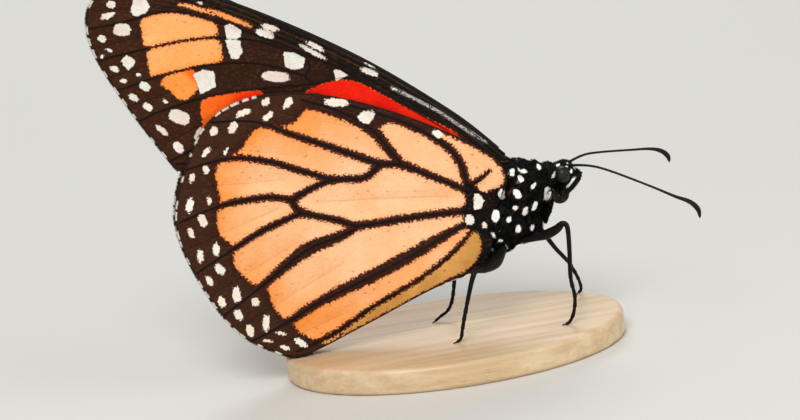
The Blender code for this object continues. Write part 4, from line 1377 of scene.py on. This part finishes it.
# Legs, from the coxa to the claw: (x, y, z) with y outwards, then the radius that shows
legs = {
    "mid_right": [(9.0, 1.2, 12.6, 0.4), (10.3, 2.15, 12.9, 0.42), (11.6, 3.15, 13.35, 0.58),
                  (12.6, 4.05, 14.0, 0.52), (13.3, 4.7, 14.7, 0.36), (13.75, 4.95, 14.2, 0.29),
                  (13.6, 5.4, 11.7, 0.27), (13.3, 5.8, 8.5, 0.25), (13.5, 6.0, 6.3, 0.23),
                  (13.2, 6.0, 4.5, 0.22), (12.6, 6.0, 3.4, 0.2), (12.0, 6.0, 3.15, 0.15)],
    "mid_left": [(9.0, 1.2, 12.6, 0.55), (10.6, 3.2, 12.9, 0.5), (12.0, 4.3, 12.4, 0.38),
                 (12.6, 4.6, 11.6, 0.31), (13.9, 4.8, 9.4, 0.26), (15.3, 5.2, 7.4, 0.24),
                 (16.2, 5.6, 5.5, 0.22), (16.6, 5.9, 4.2, 0.2), (16.6, 6.0, 3.5, 0.2),
                 (16.2, 6.0, 3.15, 0.15)],
    "hind_right": [(6.7, 1.4, 12.2, 0.45), (5.3, 2.7, 11.1, 0.85), (3.8, 4.3, 10.8, 0.5),
                   (2.5, 5.3, 11.0, 0.36), (1.95, 5.7, 10.3, 0.3), (1.35, 5.8, 8.7, 0.26),
                   (0.4, 6.0, 5.9, 0.24), (0.0, 6.0, 4.5, 0.21), (-0.3, 6.0, 3.5, 0.2),
                   (-0.9, 6.0, 3.15, 0.15)],
    "hind_left": [(7.2, 1.3, 12.2, 0.55), (5.7, 2.7, 11.3, 0.5), (3.8, 3.9, 10.8, 0.42),
                  (2.5, 4.5, 10.8, 0.34), (1.9, 4.5, 10.0, 0.28), (1.5, 4.3, 8.3, 0.25),
                  (0.9, 4.4, 5.5, 0.23), (0.2, 4.3, 4.2, 0.2), (-0.8, 4.2, 3.6, 0.18),
                  (-1.6, 4.0, 3.15, 0.15)],
    "fore_right": [(11.4, 0.95, 17.7, 0.38), (12.75, 0.95, 16.9, 0.38), (12.6, 0.95, 15.8, 0.36),
                   (12.15, 0.95, 14.9, 0.32), (11.95, 0.95, 14.2, 0.26)],
    "footShare": 0.32,
    "footJoints": 5,
    "spineLength": 0.32,
    "spineWidth": 0.035,
    "spineRings": 22,
    "clawLength": 0.5,
}


def spineMesh(name, roots, lies, length, width):
    # short stiff spines as slim four-sided pyramids
    pieces = []
    for root, lie, long in zip(roots, lies, length):
        bpy.ops.mesh.primitive_cone_add(vertices=4, radius1=width, radius2=0, depth=long,
                                        location=(0, 0, long / 2))
        cone = bpy.context.active_object
        turn = Vector(lie).to_track_quat("Z", "Y").to_matrix().to_4x4()
        cone.data.transform(Matrix.Translation(root) @ turn @ Matrix.Translation((0, 0, long / 2)))
        cone.matrix_world = Matrix.Identity(4)
        pieces.append(cone)
    return joinAll(name, pieces)


def makeLegs():
    made = cuticleMaterial("leg cuticle", "#020202", "#0b0a08", 0.45)
    for name in ("mid_right", "mid_left", "hind_right", "hind_left", "fore_right", "fore_left"):
        kind, word = name.split("_")
        side = -1 if word == "right" else 1
        # the left foreleg is the right one's mirror image
        points = legs.get(name, legs["fore_right"])
        walks = kind != "fore"
        route = smoothRoute([(x, side * y, z, r) for x, y, z, r in points], 150 if walks else 50)
        radii = route[:, 3].copy()
        reach = reachAlong(route[:, :3])
        if walks:
            # the foot is short joints, each swelling a little to its end
            ankle = reach[-1] * (1 - legs["footShare"])
            phase = (reach - ankle) / (reach[-1] * legs["footShare"]) * legs["footJoints"]
            radii = np.where(reach > ankle, radii * (0.82 + 0.3 * (phase - np.floor(phase))), radii)
        radii = radii * np.sqrt(np.clip((reach[-1] - reach) / 0.15, 0.15, 1))
        pieces = [tubeAlong(f"leg_{name}", route[:, :3], radii, 5)]
        if walks:
            pieces += legDetails(route)
        else:
            coatForeleg(pieces[0], word)
        obj = joinAll(f"leg_{kind}_{word}_cuticle", pieces)
        finishPiece(obj, [made], [f"leg_{kind}_{word}"])
    print("legs")


def coatForeleg(obj, word):
    # the small folded forelegs are brushes of hair
    def everywhere(p):
        return np.ones(len(p), bool)

    def down(p):
        return np.tile(coat["legDown"], (len(p), 1))

    coat[f"foreleg_{word}"] = coat["forelegs"]
    makeCoat(obj, f"foreleg_{word}", bpy.data.materials["monarch hair scales"], everywhere, down,
             (12.2, 0.95, 18.1), (12.2, 0.95, 13.9))


def legDetails(route):
    # fine spines down the shin and foot, and a pair of hooked claws
    roots, lies, lengths = [], [], []
    run = unit(np.gradient(route[:, :3], axis=0))
    for at in np.linspace(0.42, 0.97, legs["spineRings"]):
        i = int(at * (len(route) - 1))
        for turn in (0, 1, 2):
            angle = 2 * math.pi * (turn / 3 + at * 4.7)
            first = np.cross(run[i], (0.0, 0.0, 1.0)) + 1e-6
            first /= np.linalg.norm(first)
            second = np.cross(run[i], first)
            out = first * math.cos(angle) + second * math.sin(angle)
            roots.append(route[i, :3] + out * route[i, 3] * 0.7)
            lies.append(out * 0.55 + run[i])
            lengths.append(legs["spineLength"] * (1.0 - 0.45 * at))
    spines = spineMesh("spines", roots, lies, lengths, legs["spineWidth"])
    claws = []
    end, lead = route[-1, :3], run[-1]
    for spread in (-1, 1):
        sideways = np.cross(lead, (0, 0, 1.0)) * spread
        tip = end + lead * legs["clawLength"] * 0.8 + sideways * 0.12 - np.array([0, 0, 0.08])
        middle = end + lead * legs["clawLength"] * 0.5 + sideways * 0.14 + np.array([0, 0, 0.03])
        points = smoothRoute([end, middle, tip], 10)
        claws.append(tubeAlong("claw", points, np.linspace(0.07, 0.015, 10), 2))
    return [spines, *claws]


# The oval base, with a rounded edge
base = {"length": 40.0, "width": 28.0, "height": 3.0, "edge": 0.6}


def mapleMaterial():
    # Turned maple, sanded and oiled: pale, fine straight grain with small flecks, a soft satin shine.
    made, tree = newMaterial("oiled maple", Roughness=0.42, Coat_Weight=0.12, Coat_Roughness=0.35)
    place = addNode(tree, "place")
    grain = addNode(tree, "noise", addNode(tree, "mapping", place, (40, 900, 900)), 1.0, 5.0, 0.6)
    fleck = addNode(tree, "noise", addNode(tree, "mapping", place, (500, 4200, 4200)), 1.0, 2.0)
    wood = layered(tree, "#cfae84", (grain, 0.3, 0.7, 1.0, "#e3c9a3"),
                   (fleck, 0.62, 0.75, 0.45, "#a98258"))
    return finishMaterial(made, wood, fleck, 0.12, 0.0001)


def makeBase():
    bpy.ops.mesh.primitive_cylinder_add(vertices=160, radius=1, depth=1,
                                        location=(0, 0, base["height"] / 2))
    obj = newest("stand_base_maple")
    obj.scale = (base["length"] / 2, base["width"] / 2, base["height"])
    pick(obj)
    bpy.ops.object.transform_apply()
    applyModifier(obj, "BEVEL", width=base["edge"], segments=6, limit_method="ANGLE")
    finishPiece(obj, [mapleMaterial()], ["stand_base"], 30)
    print("base")


addCamera()
addStudio()
makeWings()
makeBody()
makeEyes()
makeProboscis()
makeFeelers()
makeLegs()
makeBase()
